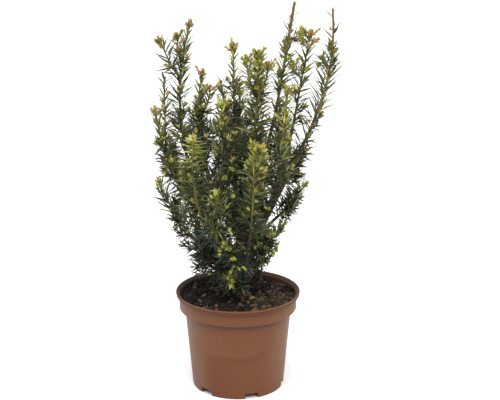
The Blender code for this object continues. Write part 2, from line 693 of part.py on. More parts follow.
def make_mass(name, runs, space, material, group, pieces, cutters, limbs):
    """One mass of foliage: its stem, its forks and their sprays."""
    members = [r for r in runs.values() if r.leader and mass_of(r.leader) == name]
    base, trees = None, []
    space.clear()
    for run in members:
        points, radii = run.slice(run.leader.enter, 1.0, 0.003)
        space.place(points, [r + STEM_CLEARANCE for r in radii])

    def holds(spots):
        return space.holds(name, spots)

    def grow(spray):
        trees.append(spray.tree())
        space.place(spray.spots, [SPRAY_CLEARANCE] * len(spray.spots))
        add_object("spray", spray.mesh("spray", pieces), material, pieces)

    def crossings(spray):
        tree = spray.tree()
        return sum(len(tree.overlap(other)) for other in trees)

    for run in members:
        leader, crown = run.leader, run.crown()
        direct = 0.0 < leader.enter < BARE_LIMIT
        start = 0.0 if direct or leader.enter == 0.0 else leader.enter + GAP / run.length()
        points, radii = run.slice(start, 1.0 - crown / run.length(), STEM_STEP)
        stem = tube("stem", points, radii, 4, group)
        if base is None:
            base = add_object(f"foliage_{name}", stem, material, group)
            if direct:
                cut_foot(base, points[:2], limbs, material, cutters)
        else:
            add_object("fork", stem, material, pieces)
        put = on_leader(run, crown, seed_of(leader))
        top = Spray(crown, 0.85 * NEEDLE_LENGTH, CROWN_BARE, CROWN_RIB, CROWN_THICKNESS, CROWN_END, put)
        top.fit(holds)
        grow(top)
    for run in members:
        for ways in side_shoots(run):
            fitting = []
            for size, put in ways:
                if holds([put(size * k / 8, 0.0, 0.0) for k in range(2, 11)]):
                    spray = Spray(
                        size, NEEDLE_LENGTH, SPRAY_BARE, SPRAY_RIB, NEEDLE_THICKNESS, SPRAY_END, put
                    )
                    if spray.fit(holds) >= SPRAY_FULLNESS:
                        fitting.append(spray)
            fitting.sort(key=lambda spray: -spray.full * spray.length)
            fitting = [spray for spray in fitting if crossings(spray) <= MOST_CROSSINGS]
            if fitting:
                grow(min(fitting, key=lambda spray: (crossings(spray) > 0, -spray.full * spray.length)))
    boolean(base, "UNION", pieces, "MANIFOLD")
    keep_largest_body(base.data)
    return base


def main():
    clear_scene()
    plant = collection("potted_yew")
    cutters = collection("cutters")
    pieces = collection("pieces")
    plastic = finish("terracotta_plastic", (0.33, 0.115, 0.055), 0.45)
    compost = finish("compost", (0.030, 0.020, 0.014), 0.95)
    bark = finish("bark", (0.085, 0.050, 0.032), 0.85)
    needles = finish("needles", (0.045, 0.085, 0.022), 0.55)

    make_pot(plastic, plant, cutters)
    make_soil(compost, plant)
    runs = grow_runs()
    trunk = runs["trunk"]
    obj = add_object("trunk", tube("trunk", trunk.points, trunk.radii, 10, plant), bark, plant)
    shade_round(obj)
    earlier = [trunk]
    for run in runs.values():
        if run.leader and run.leader.enter > BARE_LIMIT:
            make_limb(run, bark, plant, cutters, earlier)
            earlier.append(run)
    space = Space(runs)
    for run in runs.values():
        if run.leader and run.leader.enter > 0.0:
            make_mass(run.leader.name, runs, space, needles, plant, pieces, cutters, earlier)
    for obj in plant.objects:
        obj.data.transform(Matrix.Translation(POT_PLACE))


main()
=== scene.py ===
"""A young English yew in its round nursery pot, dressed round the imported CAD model.

Metres, +Z up, and -Y is the plant's front. The growing rule is the source's own, written again:
the same leaders leave the same parents and sweep to the same tips, and their side shoots are drawn
from the same seeds. Here the rule is carried on to twigs, single needles, buds and new growth.
"""

import json
import logging
import math
import random
from collections.abc import Iterator
from dataclasses import dataclass, field
from enum import Enum

import bmesh
import bpy
import numpy as np
from mathutils import Matrix, Vector, noise

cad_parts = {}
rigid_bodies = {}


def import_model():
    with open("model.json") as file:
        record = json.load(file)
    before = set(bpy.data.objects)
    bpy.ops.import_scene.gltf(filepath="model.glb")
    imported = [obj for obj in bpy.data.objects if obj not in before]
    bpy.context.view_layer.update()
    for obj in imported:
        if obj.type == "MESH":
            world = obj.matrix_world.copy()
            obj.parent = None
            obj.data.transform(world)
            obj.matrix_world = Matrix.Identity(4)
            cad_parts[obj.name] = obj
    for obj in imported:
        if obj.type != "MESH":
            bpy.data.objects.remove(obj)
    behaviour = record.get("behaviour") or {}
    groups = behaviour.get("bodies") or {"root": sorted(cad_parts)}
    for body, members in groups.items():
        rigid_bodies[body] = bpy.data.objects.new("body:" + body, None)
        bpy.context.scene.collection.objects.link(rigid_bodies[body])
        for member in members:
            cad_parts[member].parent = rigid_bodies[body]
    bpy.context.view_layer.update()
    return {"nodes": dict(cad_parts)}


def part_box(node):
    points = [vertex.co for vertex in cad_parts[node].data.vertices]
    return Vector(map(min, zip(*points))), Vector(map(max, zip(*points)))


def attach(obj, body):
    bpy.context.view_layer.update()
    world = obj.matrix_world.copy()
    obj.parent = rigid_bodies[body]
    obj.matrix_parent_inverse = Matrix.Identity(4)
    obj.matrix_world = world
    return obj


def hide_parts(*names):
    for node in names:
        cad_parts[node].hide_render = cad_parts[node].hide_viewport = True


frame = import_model()
log = logging.getLogger("yew")

BODY = "root"
GAP = 0.0003  # what touching pieces keep between them
GOLDEN_ANGLE = math.radians(137.5)
SOIL_LEVEL = 0.1405
UP = np.array((0.0, 0.0, 1.0))
POT_LOW, POT_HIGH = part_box("pot")
POT_PLACE = Vector(((POT_LOW.x + POT_HIGH.x) / 2, (POT_LOW.y + POT_HIGH.y) / 2, 0.0))

Colour = tuple[float, float, float]


# ---------------------------------------------------------------------------------------------
# Finishes
# ---------------------------------------------------------------------------------------------


def new_material(name: str) -> tuple[bpy.types.Material, bpy.types.Node]:
    """A material with its nodes, and its shader.

    Args:
        name: What the material is called.

    Returns:
        The material and its Principled shader.
    """
    material = bpy.data.materials.new(name)
    material.use_nodes = True
    return material, material.node_tree.nodes["Principled BSDF"]


class Pattern:
    """Adds the nodes of one procedural pattern to a material, read on Object coordinates."""

    def __init__(self, material: bpy.types.Material) -> None:
        """Starts with the coordinates alone."""
        self.tree = material.node_tree
        self.place = self.tree.nodes.new("ShaderNodeTexCoord").outputs["Object"]

    def stretched(self, scale: Colour) -> bpy.types.NodeSocket:
        """Coordinates stretched by a factor along each axis.

        Args:
            scale: The factors along X, Y and Z.

        Returns:
            The stretched coordinates.
        """
        mapping = self.tree.nodes.new("ShaderNodeMapping")
        mapping.inputs["Scale"].default_value = scale
        self.tree.links.new(self.place, mapping.inputs["Vector"])
        return mapping.outputs["Vector"]

    def noise(self, scale: float, detail: float, place: bpy.types.NodeSocket | None = None) -> bpy.types.NodeSocket:
        """Soft noise.

        Args:
            scale: How fine it is.
            detail: How many finer layers it has.
            place: The coordinates it reads, or None for the plain ones.

        Returns:
            The noise from 0 to 1.
        """
        node = self.tree.nodes.new("ShaderNodeTexNoise")
        node.inputs["Scale"].default_value = scale
        node.inputs["Detail"].default_value = detail
        self.tree.links.new(place or self.place, node.inputs["Vector"])
        return node.outputs["Fac"]

    def ramp(self, value: bpy.types.NodeSocket, stops: tuple[tuple[float, Colour], ...]) -> bpy.types.NodeSocket:
        """Colours along a value.

        Args:
            value: What the ramp reads.
            stops: Each place on the ramp with its colour.

        Returns:
            The colour.
        """
        node = self.tree.nodes.new("ShaderNodeValToRGB")
        elements = node.color_ramp.elements
        while len(elements) < len(stops):
            elements.new(1.0)
        for element, (place, colour) in zip(elements, stops):
            element.position = place
            element.color = (*colour, 1.0)
        self.tree.links.new(value, node.inputs["Fac"])
        return node.outputs["Color"]

    def mix(self, share: bpy.types.NodeSocket, first: bpy.types.NodeSocket, second: Colour) -> bpy.types.NodeSocket:
        """One colour laid over another.

        Args:
            share: How much of the second colour shows.
            first: The colour below.
            second: The colour laid over it.

        Returns:
            The mixed colour.
        """
        node = self.tree.nodes.new("ShaderNodeMix")
        node.data_type = "RGBA"
        self.tree.links.new(share, node.inputs["Factor"])
        self.tree.links.new(first, node.inputs["A"])
        node.inputs["B"].default_value = (*second, 1.0)
        return node.outputs["Result"]

    def spread(self, value: bpy.types.NodeSocket, low: float, high: float,
               to_low: float, to_high: float) -> bpy.types.NodeSocket:
        """A value taken from one range to another.

        Args:
            value: What is taken over.
            low: The start of its range.
            high: The end of its range.
            to_low: Where the start goes.
            to_high: Where the end goes.

        Returns:
            The value in its new range.
        """
        node = self.tree.nodes.new("ShaderNodeMapRange")
        for name, number in (("From Min", low), ("From Max", high), ("To Min", to_low), ("To Max", to_high)):
            node.inputs[name].default_value = number
        self.tree.links.new(value, node.inputs["Value"])
        return node.outputs["Result"]

    def axis(self, name: str) -> bpy.types.NodeSocket:
        """One of the coordinates: X, Y or Z."""
        parts = self.tree.nodes.new("ShaderNodeSeparateXYZ")
        self.tree.links.new(self.place, parts.inputs["Vector"])
        return parts.outputs[name]

    def math(self, operation: str, *values: bpy.types.NodeSocket | float) -> bpy.types.NodeSocket:
        """One step of arithmetic.

        Args:
            operation: What Blender calls it.
            values: What it reads, each a socket or a number.

        Returns:
            The result.
        """
        node = self.tree.nodes.new("ShaderNodeMath")
        node.operation = operation
        for place, value in zip(node.inputs, values):
            if isinstance(value, bpy.types.NodeSocket):
                self.tree.links.new(value, place)
            else:
                place.default_value = value
        return node.outputs["Value"]

    def bump(self, height: bpy.types.NodeSocket, strength: float, depth: float) -> bpy.types.NodeSocket:
        """A bumped normal.

        Args:
            height: The pattern that gives the heights.
            strength: How much of it shows.
            depth: How deep it is, in metres.

        Returns:
            The normal.
        """
        node = self.tree.nodes.new("ShaderNodeBump")
        node.inputs["Strength"].default_value = strength
        node.inputs["Distance"].default_value = depth
        self.tree.links.new(height, node.inputs["Height"])
        return node.outputs["Normal"]


@dataclass(frozen=True)
class PlainFinish:
    """One even colour, for small things whose colours are dealt out piece by piece."""

    name: str
    colour: Colour
    roughness: float = 0.6
    shine: float = 0.5

    def material(self) -> bpy.types.Material:
        """The finish as a material, made once.

        Returns:
            The material.
        """
        found = bpy.data.materials.get(self.name)
        if found:
            return found
        material, shader = new_material(self.name)
        shader.inputs["Base Color"].default_value = (*self.colour, 1.0)
        shader.inputs["Roughness"].default_value = self.roughness
        shader.inputs["Specular IOR Level"].default_value = self.shine
        return material


class Shade(Enum):
    """The needles' colours: the glossy upper side, then the paler under side."""

    # DEEP goes to the lower and inner shoots: partly the darker older needles, partly painted shade
    DEEP = (PlainFinish("needle_deep", (0.0130, 0.0182, 0.0115), 0.48, 0.35),
            PlainFinish("needle_deep_under", (0.028, 0.036, 0.022), 0.6, 0.3))
    GREEN = (PlainFinish("needle_green", (0.032, 0.048, 0.0225), 0.48, 0.35),
             PlainFinish("needle_green_under", (0.064, 0.082, 0.037), 0.6, 0.3))
    OLIVE = (PlainFinish("needle_olive", (0.106, 0.112, 0.032), 0.50, 0.3),
             PlainFinish("needle_olive_under", (0.150, 0.162, 0.054), 0.6, 0.3))
    YOUNG = (PlainFinish("needle_young", (0.232, 0.260, 0.048), 0.50, 0.3),
             PlainFinish("needle_young_under", (0.290, 0.300, 0.070), 0.6, 0.3))
    FRESH = (PlainFinish("growth_fresh", (0.590, 0.565, 0.130), 0.55, 0.3),
             PlainFinish("growth_fresh_under", (0.510, 0.490, 0.115), 0.6, 0.3))
    TAN = (PlainFinish("growth_tan", (0.450, 0.290, 0.120), 0.6, 0.3),
           PlainFinish("growth_tan_under", (0.370, 0.235, 0.095), 0.65, 0.3))
    GOLD = (PlainFinish("growth_gold", (0.370, 0.275, 0.062), 0.55, 0.3),
            PlainFinish("growth_gold_under", (0.310, 0.230, 0.055), 0.6, 0.3))


SHADES = tuple(Shade)
WOODY = PlainFinish("twig_woody", (0.070, 0.046, 0.028), 0.8, 0.3)
OLIVE_BARK = PlainFinish("twig_olive", (0.115, 0.098, 0.034), 0.65, 0.4)
TAN_BARK = PlainFinish("twig_tan", (0.110, 0.073, 0.034), 0.7, 0.3)
YELLOW_BARK = PlainFinish("twig_yellow", (0.180, 0.150, 0.038), 0.6, 0.4)
BUD_SCALE = PlainFinish("bud_scale", (0.210, 0.140, 0.048), 0.55)
TWIG_FINISHES = (WOODY, OLIVE_BARK, TAN_BARK, YELLOW_BARK)


@dataclass(frozen=True)
class BarkFinish:
    """Brown-grey bark of a young yew: streaked along the wood, darker in its cracks."""

    name: str
    dark: Colour
    light: Colour
    grain: float

    def material(self) -> bpy.types.Material:
        """The finish as a material.

        Returns:
            The material.
        """
        material, shader = new_material(self.name)
        pattern = Pattern(material)
        streaks = pattern.noise(self.grain, 6.0, pattern.stretched((1.0, 1.0, 0.22)))
        middle = tuple((a + b) / 2 for a, b in zip(self.dark, self.light))
        colour = pattern.ramp(streaks, ((0.30, self.dark), (0.50, middle), (0.72, self.light)))
        flecks = pattern.spread(pattern.noise(self.grain * 3.5, 3.0), 0.60, 0.74, 0.0, 0.55)
        colour = pattern.mix(flecks, colour, (0.230, 0.190, 0.130))
        links = material.node_tree.links
        links.new(colour, shader.inputs["Base Color"])
        links.new(pattern.spread(streaks, 0.3, 0.7, 0.92, 0.70), shader.inputs["Roughness"])
        links.new(pattern.bump(streaks, 0.7, 0.0006), shader.inputs["Normal"])
        shader.inputs["Specular IOR Level"].default_value = 0.25
        return material


@dataclass(frozen=True)
class PlasticFinish:
    """Thin terracotta-coloured plastic: satin, a little clouded, with fine scuffs and soil dust; painted shade under
    its collar and lip, a painted reflection, and painted light and shade on its edges.
    """

    # Painted shade under the collar and under the lip: its share at places from 0.10 to 0.15 m up
    PAINTED_SHADE_SHARE = ((0.0, 0.0), (0.24, 0.06), (0.32, 0.22), (0.38, 0.50), (0.43, 0.90), (0.475, 0.90), (0.50, 0.05),
             (0.62, 0.05), (0.80, 0.20), (0.86, 0.55), (0.90, 0.45), (0.93, 0.15), (1.0, 0.05))

    name: str
    colour: Colour
    clouded: Colour
    dusty: Colour
    reflection_tone: Colour
    # the colour of the painted shade under the collar and the lip, also laid on the back of the lip's top
    painted_shade_colour: Colour
    # left and right: painted light and shade, laid on each edge for how the light falls on that side
    left: Colour  # the colour of its left edge, and of its right
    right: Colour
    roughness: float
    line_height: float = 0.0700  # the edge of a painted reflection: how high it is, and where it starts and turns up
    line_start: float = -0.0670
    line_turn: float = -0.0040
    line_rise: float = 12.0
    reflection_most: float = 0.9

    def material(self) -> bpy.types.Material:
        """The finish as a material.

        Returns:
            The material.
        """
        material, shader = new_material(self.name)
        pattern = Pattern(material)
        clouds = pattern.noise(9.0, 3.0)
        colour = pattern.ramp(clouds, ((0.30, self.colour), (0.75, self.clouded)))
        scuffs = pattern.noise(55.0, 5.0, pattern.stretched((1.0, 1.0, 0.35)))
        colour = pattern.mix(pattern.spread(scuffs, 0.60, 0.80, 0.0, 0.35), colour, self.dusty)
        # Painted reflection: darker below a wavy edge across the body
        colour = pattern.mix(self.below_reflection_edge(pattern), colour, self.reflection_tone)
        x, y, z = (pattern.axis(name) for name in "XYZ")
        # Painted light and shade on the left and right edges
        colour = pattern.mix(pattern.spread(x, -0.050, -0.084, 0.0, 0.75), colour, self.left)
        colour = pattern.mix(pattern.spread(x, 0.030, 0.058, 0.0, 0.75), colour, self.right)
        # Painted shade under the collar and under the lip
        shade_share = pattern.ramp(pattern.spread(z, 0.10, 0.15, 0.0, 1.0),
                             tuple((place, (share,) * 3) for place, share in self.PAINTED_SHADE_SHARE))
        # The lip's top darkens towards the back, in the same colour
        back_lip_dark = pattern.math("MULTIPLY", pattern.spread(z, 0.1466, 0.1480, 0.0, 0.75), pattern.spread(y, -0.06, -0.01, 0, 1))
        colour = pattern.mix(pattern.math("MAXIMUM", shade_share, back_lip_dark), colour, self.painted_shade_colour)
        links = material.node_tree.links
        links.new(colour, shader.inputs["Base Color"])
        rough = pattern.spread(scuffs, 0.35, 0.75, self.roughness, self.roughness + 0.14)
        links.new(rough, shader.inputs["Roughness"])
        links.new(pattern.bump(pattern.noise(420.0, 2.0), 0.12, 0.0003), shader.inputs["Normal"])
        shader.inputs["Specular IOR Level"].default_value = 0.28
        return material

    def below_reflection_edge(self, pattern: Pattern) -> bpy.types.NodeSocket:
        """The share of the painted reflection's darker part, below a wavy edge that rises and fades to the right.

        Args:
            pattern: The pattern that it is added to.

        Returns:
            The share.
        """
        x, z = pattern.axis("X"), pattern.axis("Z")
        right = pattern.math("MAXIMUM", pattern.math("SUBTRACT", x, self.line_turn), 0.0)
        rise = pattern.math("MULTIPLY", pattern.math("MULTIPLY", right, right), self.line_rise)
        waves = pattern.spread(pattern.noise(14.0, 1.0), 0.3, 0.7, -0.0015, 0.0015)
        level = pattern.math("ADD", pattern.math("SUBTRACT", z, rise), waves)
        under = pattern.spread(level, self.line_height - 0.0012, self.line_height + 0.0008, self.reflection_most, 0.0)
        near = pattern.spread(level, self.line_height - 0.018, self.line_height - 0.003, 0.35, 1.0)
        lasting = pattern.math("MAXIMUM", near, pattern.spread(x, -0.006, -0.048, 0.35, 1.0))
        start = pattern.spread(x, self.line_start - 0.001, self.line_start + 0.003, 0.0, 1.0)
        fading = pattern.spread(x, 0.016, 0.038, 1.0, 0.0)
        return pattern.math("MULTIPLY", pattern.math("MULTIPLY", under, lasting),
                            pattern.math("MULTIPLY", start, fading))


@dataclass(frozen=True)
class CompostFinish:
    """Dark peat with paler crumbs, browner towards the right with painted light."""

    name: str
    dark: Colour
    middle: Colour
    light: Colour

    def material(self) -> bpy.types.Material:
        """The finish as a material.

        Returns:
            The material.
        """
        material, shader = new_material(self.name)
        pattern = Pattern(material)
        crumbs = pattern.noise(260.0, 8.0)
        patches = pattern.noise(38.0, 4.0)
        colour = pattern.ramp(crumbs, ((0.34, self.dark), (0.56, self.middle), (0.80, self.light)))
        colour = pattern.mix(pattern.spread(patches, 0.40, 0.66, 0.75, 0.0), colour, self.dark)
        # Painted light: paler brown laid on towards the right, where the light falls
        right = pattern.spread(pattern.axis("X"), 0.0, 0.055, 0.0, 0.55)
        brown = pattern.math("MULTIPLY", right, pattern.spread(crumbs, 0.35, 0.65, 0.2, 1.0))
        colour = pattern.mix(brown, colour, self.light)
        links = material.node_tree.links
        links.new(colour, shader.inputs["Base Color"])
        links.new(pattern.bump(crumbs, 0.9, 0.0016), shader.inputs["Normal"])
        shader.inputs["Roughness"].default_value = 0.95
        shader.inputs["Specular IOR Level"].default_value = 0.2
        return material


@dataclass(frozen=True)
class StudioFinish:
    """The floor's even pale paint."""

    name: str
    colour: Colour

    def material(self) -> bpy.types.Material:
        """The finish as a material.

        Returns:
            The material.
        """
        material, shader = new_material(self.name)
        shader.inputs["Base Color"].default_value = (*self.colour, 1.0)
        shader.inputs["Roughness"].default_value = 0.9
        shader.inputs["Specular IOR Level"].default_value = 0.0
        return material


# ---------------------------------------------------------------------------------------------
# Shapes, and meshes joined from many copies of them
# ---------------------------------------------------------------------------------------------


def unit(vectors: np.ndarray) -> np.ndarray:
    """Vectors brought to unit length.

    Args:
        vectors: One vector in each row.

    Returns:
        The same vectors, each one long.
    """
    return vectors / np.maximum(np.linalg.norm(vectors, axis=-1, keepdims=True), 1e-12)


@dataclass(frozen=True)
class Shape:
    """A small shape as arrays, to be copied many times."""

    points: np.ndarray
    corners: np.ndarray  # the point of each face's corner, face after face
    sizes: np.ndarray  # how many corners each face has
    sides: np.ndarray  # 0 for an upper face and 1 for an under one
    middles: np.ndarray  # the middle of each face

    @classmethod
    def of(cls, bm: bmesh.types.BMesh) -> "Shape":
        """The shape that a bmesh holds, which is freed.

        Args:
            bm: What the shape is read from.

        Returns:
            The shape.
        """
        bmesh.ops.recalc_face_normals(bm, faces=bm.faces)
        bm.verts.index_update()
        bm.normal_update()
        points = np.array([v.co[:] for v in bm.verts])
        corners = np.array([v.index for f in bm.faces for v in f.verts])
        sizes = np.array([len(f.verts) for f in bm.faces])
        sides = np.array([0 if f.normal.z > 0.02 else 1 for f in bm.faces])
        middles = np.array([f.calc_center_median()[:] for f in bm.faces])
        bm.free()
        return cls(points, corners, sizes, sides, middles)


def needle_shape(stations: tuple[tuple[float, float, float], ...]) -> Shape:
    """A needle along X, one long and one half-wide: a four-sided blade with a ridge, closed at both ends.

    Args:
        stations: For each ring its place along the needle, its half width and its half thickness.

    Returns:
        The needle.
    """
    bm = bmesh.new()
    bmesh.ops.create_circle(bm, segments=4, radius=1.0)
    bmesh.ops.rotate(bm, verts=bm.verts, matrix=Matrix.Rotation(math.pi / 2, 3, "Y"))
    x, wide, thick = stations[0]
    ring = list(bm.verts)
    edges = list(bm.edges)
    for vert in ring:
        vert.co = Vector((x, vert.co.y * wide, vert.co.z * thick))
    bmesh.ops.contextual_create(bm, geom=edges)
    for next_x, next_wide, next_thick in stations[1:]:
        made = bmesh.ops.extrude_edge_only(bm, edges=edges)["geom"]
        ring = [g for g in made if isinstance(g, bmesh.types.BMVert)]
        edges = [g for g in made if isinstance(g, bmesh.types.BMEdge)]
        for vert in ring:
            vert.co = Vector((next_x, vert.co.y * next_wide / wide, vert.co.z * next_thick / thick))
        wide, thick = next_wide, next_thick
    bmesh.ops.pointmerge(bm, verts=ring, merge_co=(1.0, 0.0, 0.0))
    return Shape.of(bm)


def tube_shape(sides: int, rings: int) -> Shape:
    """A closed tube along X from 0 to 1, of radius 1.

    Args:
        sides: How many faces it has round it.
        rings: How many it has along it.

    Returns:
        The tube.
    """
    bm = bmesh.new()
    bmesh.ops.create_cone(bm, cap_ends=True, segments=sides, radius1=1.0, radius2=1.0, depth=1.0)
    long_edges = [e for e in bm.edges if abs(e.verts[0].co.z - e.verts[1].co.z) > 0.5]
    bmesh.ops.subdivide_edges(bm, edges=long_edges, cuts=rings - 1, use_grid_fill=True)
    bmesh.ops.translate(bm, verts=bm.verts, vec=(0.0, 0.0, 0.5))
    bmesh.ops.rotate(bm, verts=bm.verts, matrix=Matrix.Rotation(math.pi / 2, 3, "Y"))
    return Shape.of(bm)


def ball_shape(detail: int) -> Shape:
    """A ball of radius 1.

    Args:
        detail: How often its faces are divided.

    Returns:
        The ball.
    """
    bm = bmesh.new()
    bmesh.ops.create_icosphere(bm, subdivisions=detail, radius=1.0)
    return Shape.of(bm)


class Heap:
    """Copies of small shapes, gathered to be joined as one piece."""

    def __init__(self, name: str, finishes: tuple[PlainFinish, ...]) -> None:
        """Starts an empty heap.

        Args:
            name: What the piece is called.
            finishes: The finishes that its faces are given by number.
        """
        self.name, self.finishes = name, finishes
        self.points: list[np.ndarray] = []
        self.corners: list[np.ndarray] = []
        self.sizes: list[np.ndarray] = []
        self.slots: list[np.ndarray] = []
        self.count = 0

    def add(self, shape: Shape, placed: np.ndarray, slots: np.ndarray) -> None:
        """Adds copies of a shape.

        Args:
            shape: The shape.
            placed: The points of every copy, by copy, point and axis.
            slots: The finish of every face, by copy and face.
        """
        copies, size = placed.shape[:2]
        if not copies:
            return
        offsets = self.count + size * np.arange(copies)
        self.points.append(placed.reshape(-1, 3))
        self.corners.append((shape.corners[None] + offsets[:, None]).ravel())
        self.sizes.append(np.tile(shape.sizes, copies))
        self.slots.append(np.broadcast_to(slots, (copies, len(shape.sizes))).ravel())
        self.count += copies * size

    def build(self, smooth: bool) -> bpy.types.Object:
        """Joins what the heap holds as one object, moved to where the pot stands.

        Args:
            smooth: True for round faces.

        Returns:
            The object.
        """
        points = np.concatenate(self.points) + np.array(POT_PLACE)
        corners, sizes = np.concatenate(self.corners), np.concatenate(self.sizes)
        mesh = bpy.data.meshes.new(self.name)
        mesh.vertices.add(len(points))
        mesh.vertices.foreach_set("co", points.astype(np.float32).ravel())
        mesh.loops.add(len(corners))
        mesh.loops.foreach_set("vertex_index", corners.astype(np.int32))
        mesh.polygons.add(len(sizes))
        starts = np.concatenate([[0], np.cumsum(sizes)[:-1]])
        mesh.polygons.foreach_set("loop_start", starts.astype(np.int32))
        mesh.polygons.foreach_set("material_index", np.concatenate(self.slots).astype(np.int32))
        mesh.polygons.foreach_set("use_smooth", np.full(len(sizes), smooth))
        for finish in self.finishes:
            mesh.materials.append(finish.material())
        mesh.update(calc_edges=True)
        mesh.validate()
        obj = bpy.data.objects.new(self.name, mesh)
        bpy.context.scene.collection.objects.link(obj)
        return obj


def settle(obj: bpy.types.Object, nodes: list[str]) -> bpy.types.Object:
    """Attaches a finished piece to the body it rides on, hides the CAD nodes that it replaces, and logs it.

    Args:
        obj: The piece.
        nodes: The CAD nodes that it replaces.

    Returns:
        The piece.
    """
    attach(obj, BODY)
    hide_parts(*nodes)
    mesh = obj.data
    triangles = sum(p.loop_total - 2 for p in mesh.polygons)
    log.info("%s: %d triangles", obj.name, triangles)
    return obj


def piece_from(bm: bmesh.types.BMesh, name: str, material: bpy.types.Material) -> bpy.types.Object:
    """A bmesh as a round-shaded object where the pot stands; the bmesh is freed.

    Args:
        bm: The shape, in the pot's own coordinates.
        name: What the piece is called.
        material: Its material.

    Returns:
        The object.
    """
    bmesh.ops.translate(bm, verts=bm.verts, vec=POT_PLACE)
    mesh = bpy.data.meshes.new(name)
    bm.to_mesh(mesh)
    bm.free()
    mesh.materials.append(material)
    mesh.shade_smooth()
    obj = bpy.data.objects.new(name, mesh)
    bpy.context.scene.collection.objects.link(obj)
    return obj


# ---------------------------------------------------------------------------------------------
# The growing rule
# ---------------------------------------------------------------------------------------------


class Region(Enum):
    """The sides of the crown that are joined apart, by how their masses' names start."""

    LEFT = ("left",)
    MIDDLE = ("middle", "centre")
    RIGHT = ("right",)
    FRONT = ("front",)
    BACK = ("back",)

    def holds(self, mass: str) -> bool:
        """True for a mass of this side."""
        return mass.startswith(self.value)


class Top(Enum):
    """What a shoot ends in."""

    BUD = "bud"
    TUFT = "tuft"
    TAN = "tan"
    BARE = "bare"


@dataclass(frozen=True)
class Leader:
    """One leading shoot, from where it leaves its parent to its tip."""

    name: str
    parent: str
    at: float  # share of the parent's run where it leaves
    tip: tuple[float, float, float]
    leave: float  # degrees from upright where it leaves, towards its tip
    finish: float  # degrees from upright at its tip, positive outwards
    enter: float  # share of its run where its foliage starts; 0 is a fork inside the parent's mass
    radius: float  # at its foot
    spray: float  # length of its longest side shoot
    sprays: int
    crown: float  # length of its top run that carries needles of its own
    low: Shade
    high: Shade
    top: Top

    @property
    def mass(self) -> str:
        """The mass that it belongs to."""
        return self.parent if self.enter == 0.0 else self.name

    @property
    def seed(self) -> int:
        """Its own seed, from its name."""
        return sum(ord(letter) for letter in self.name)


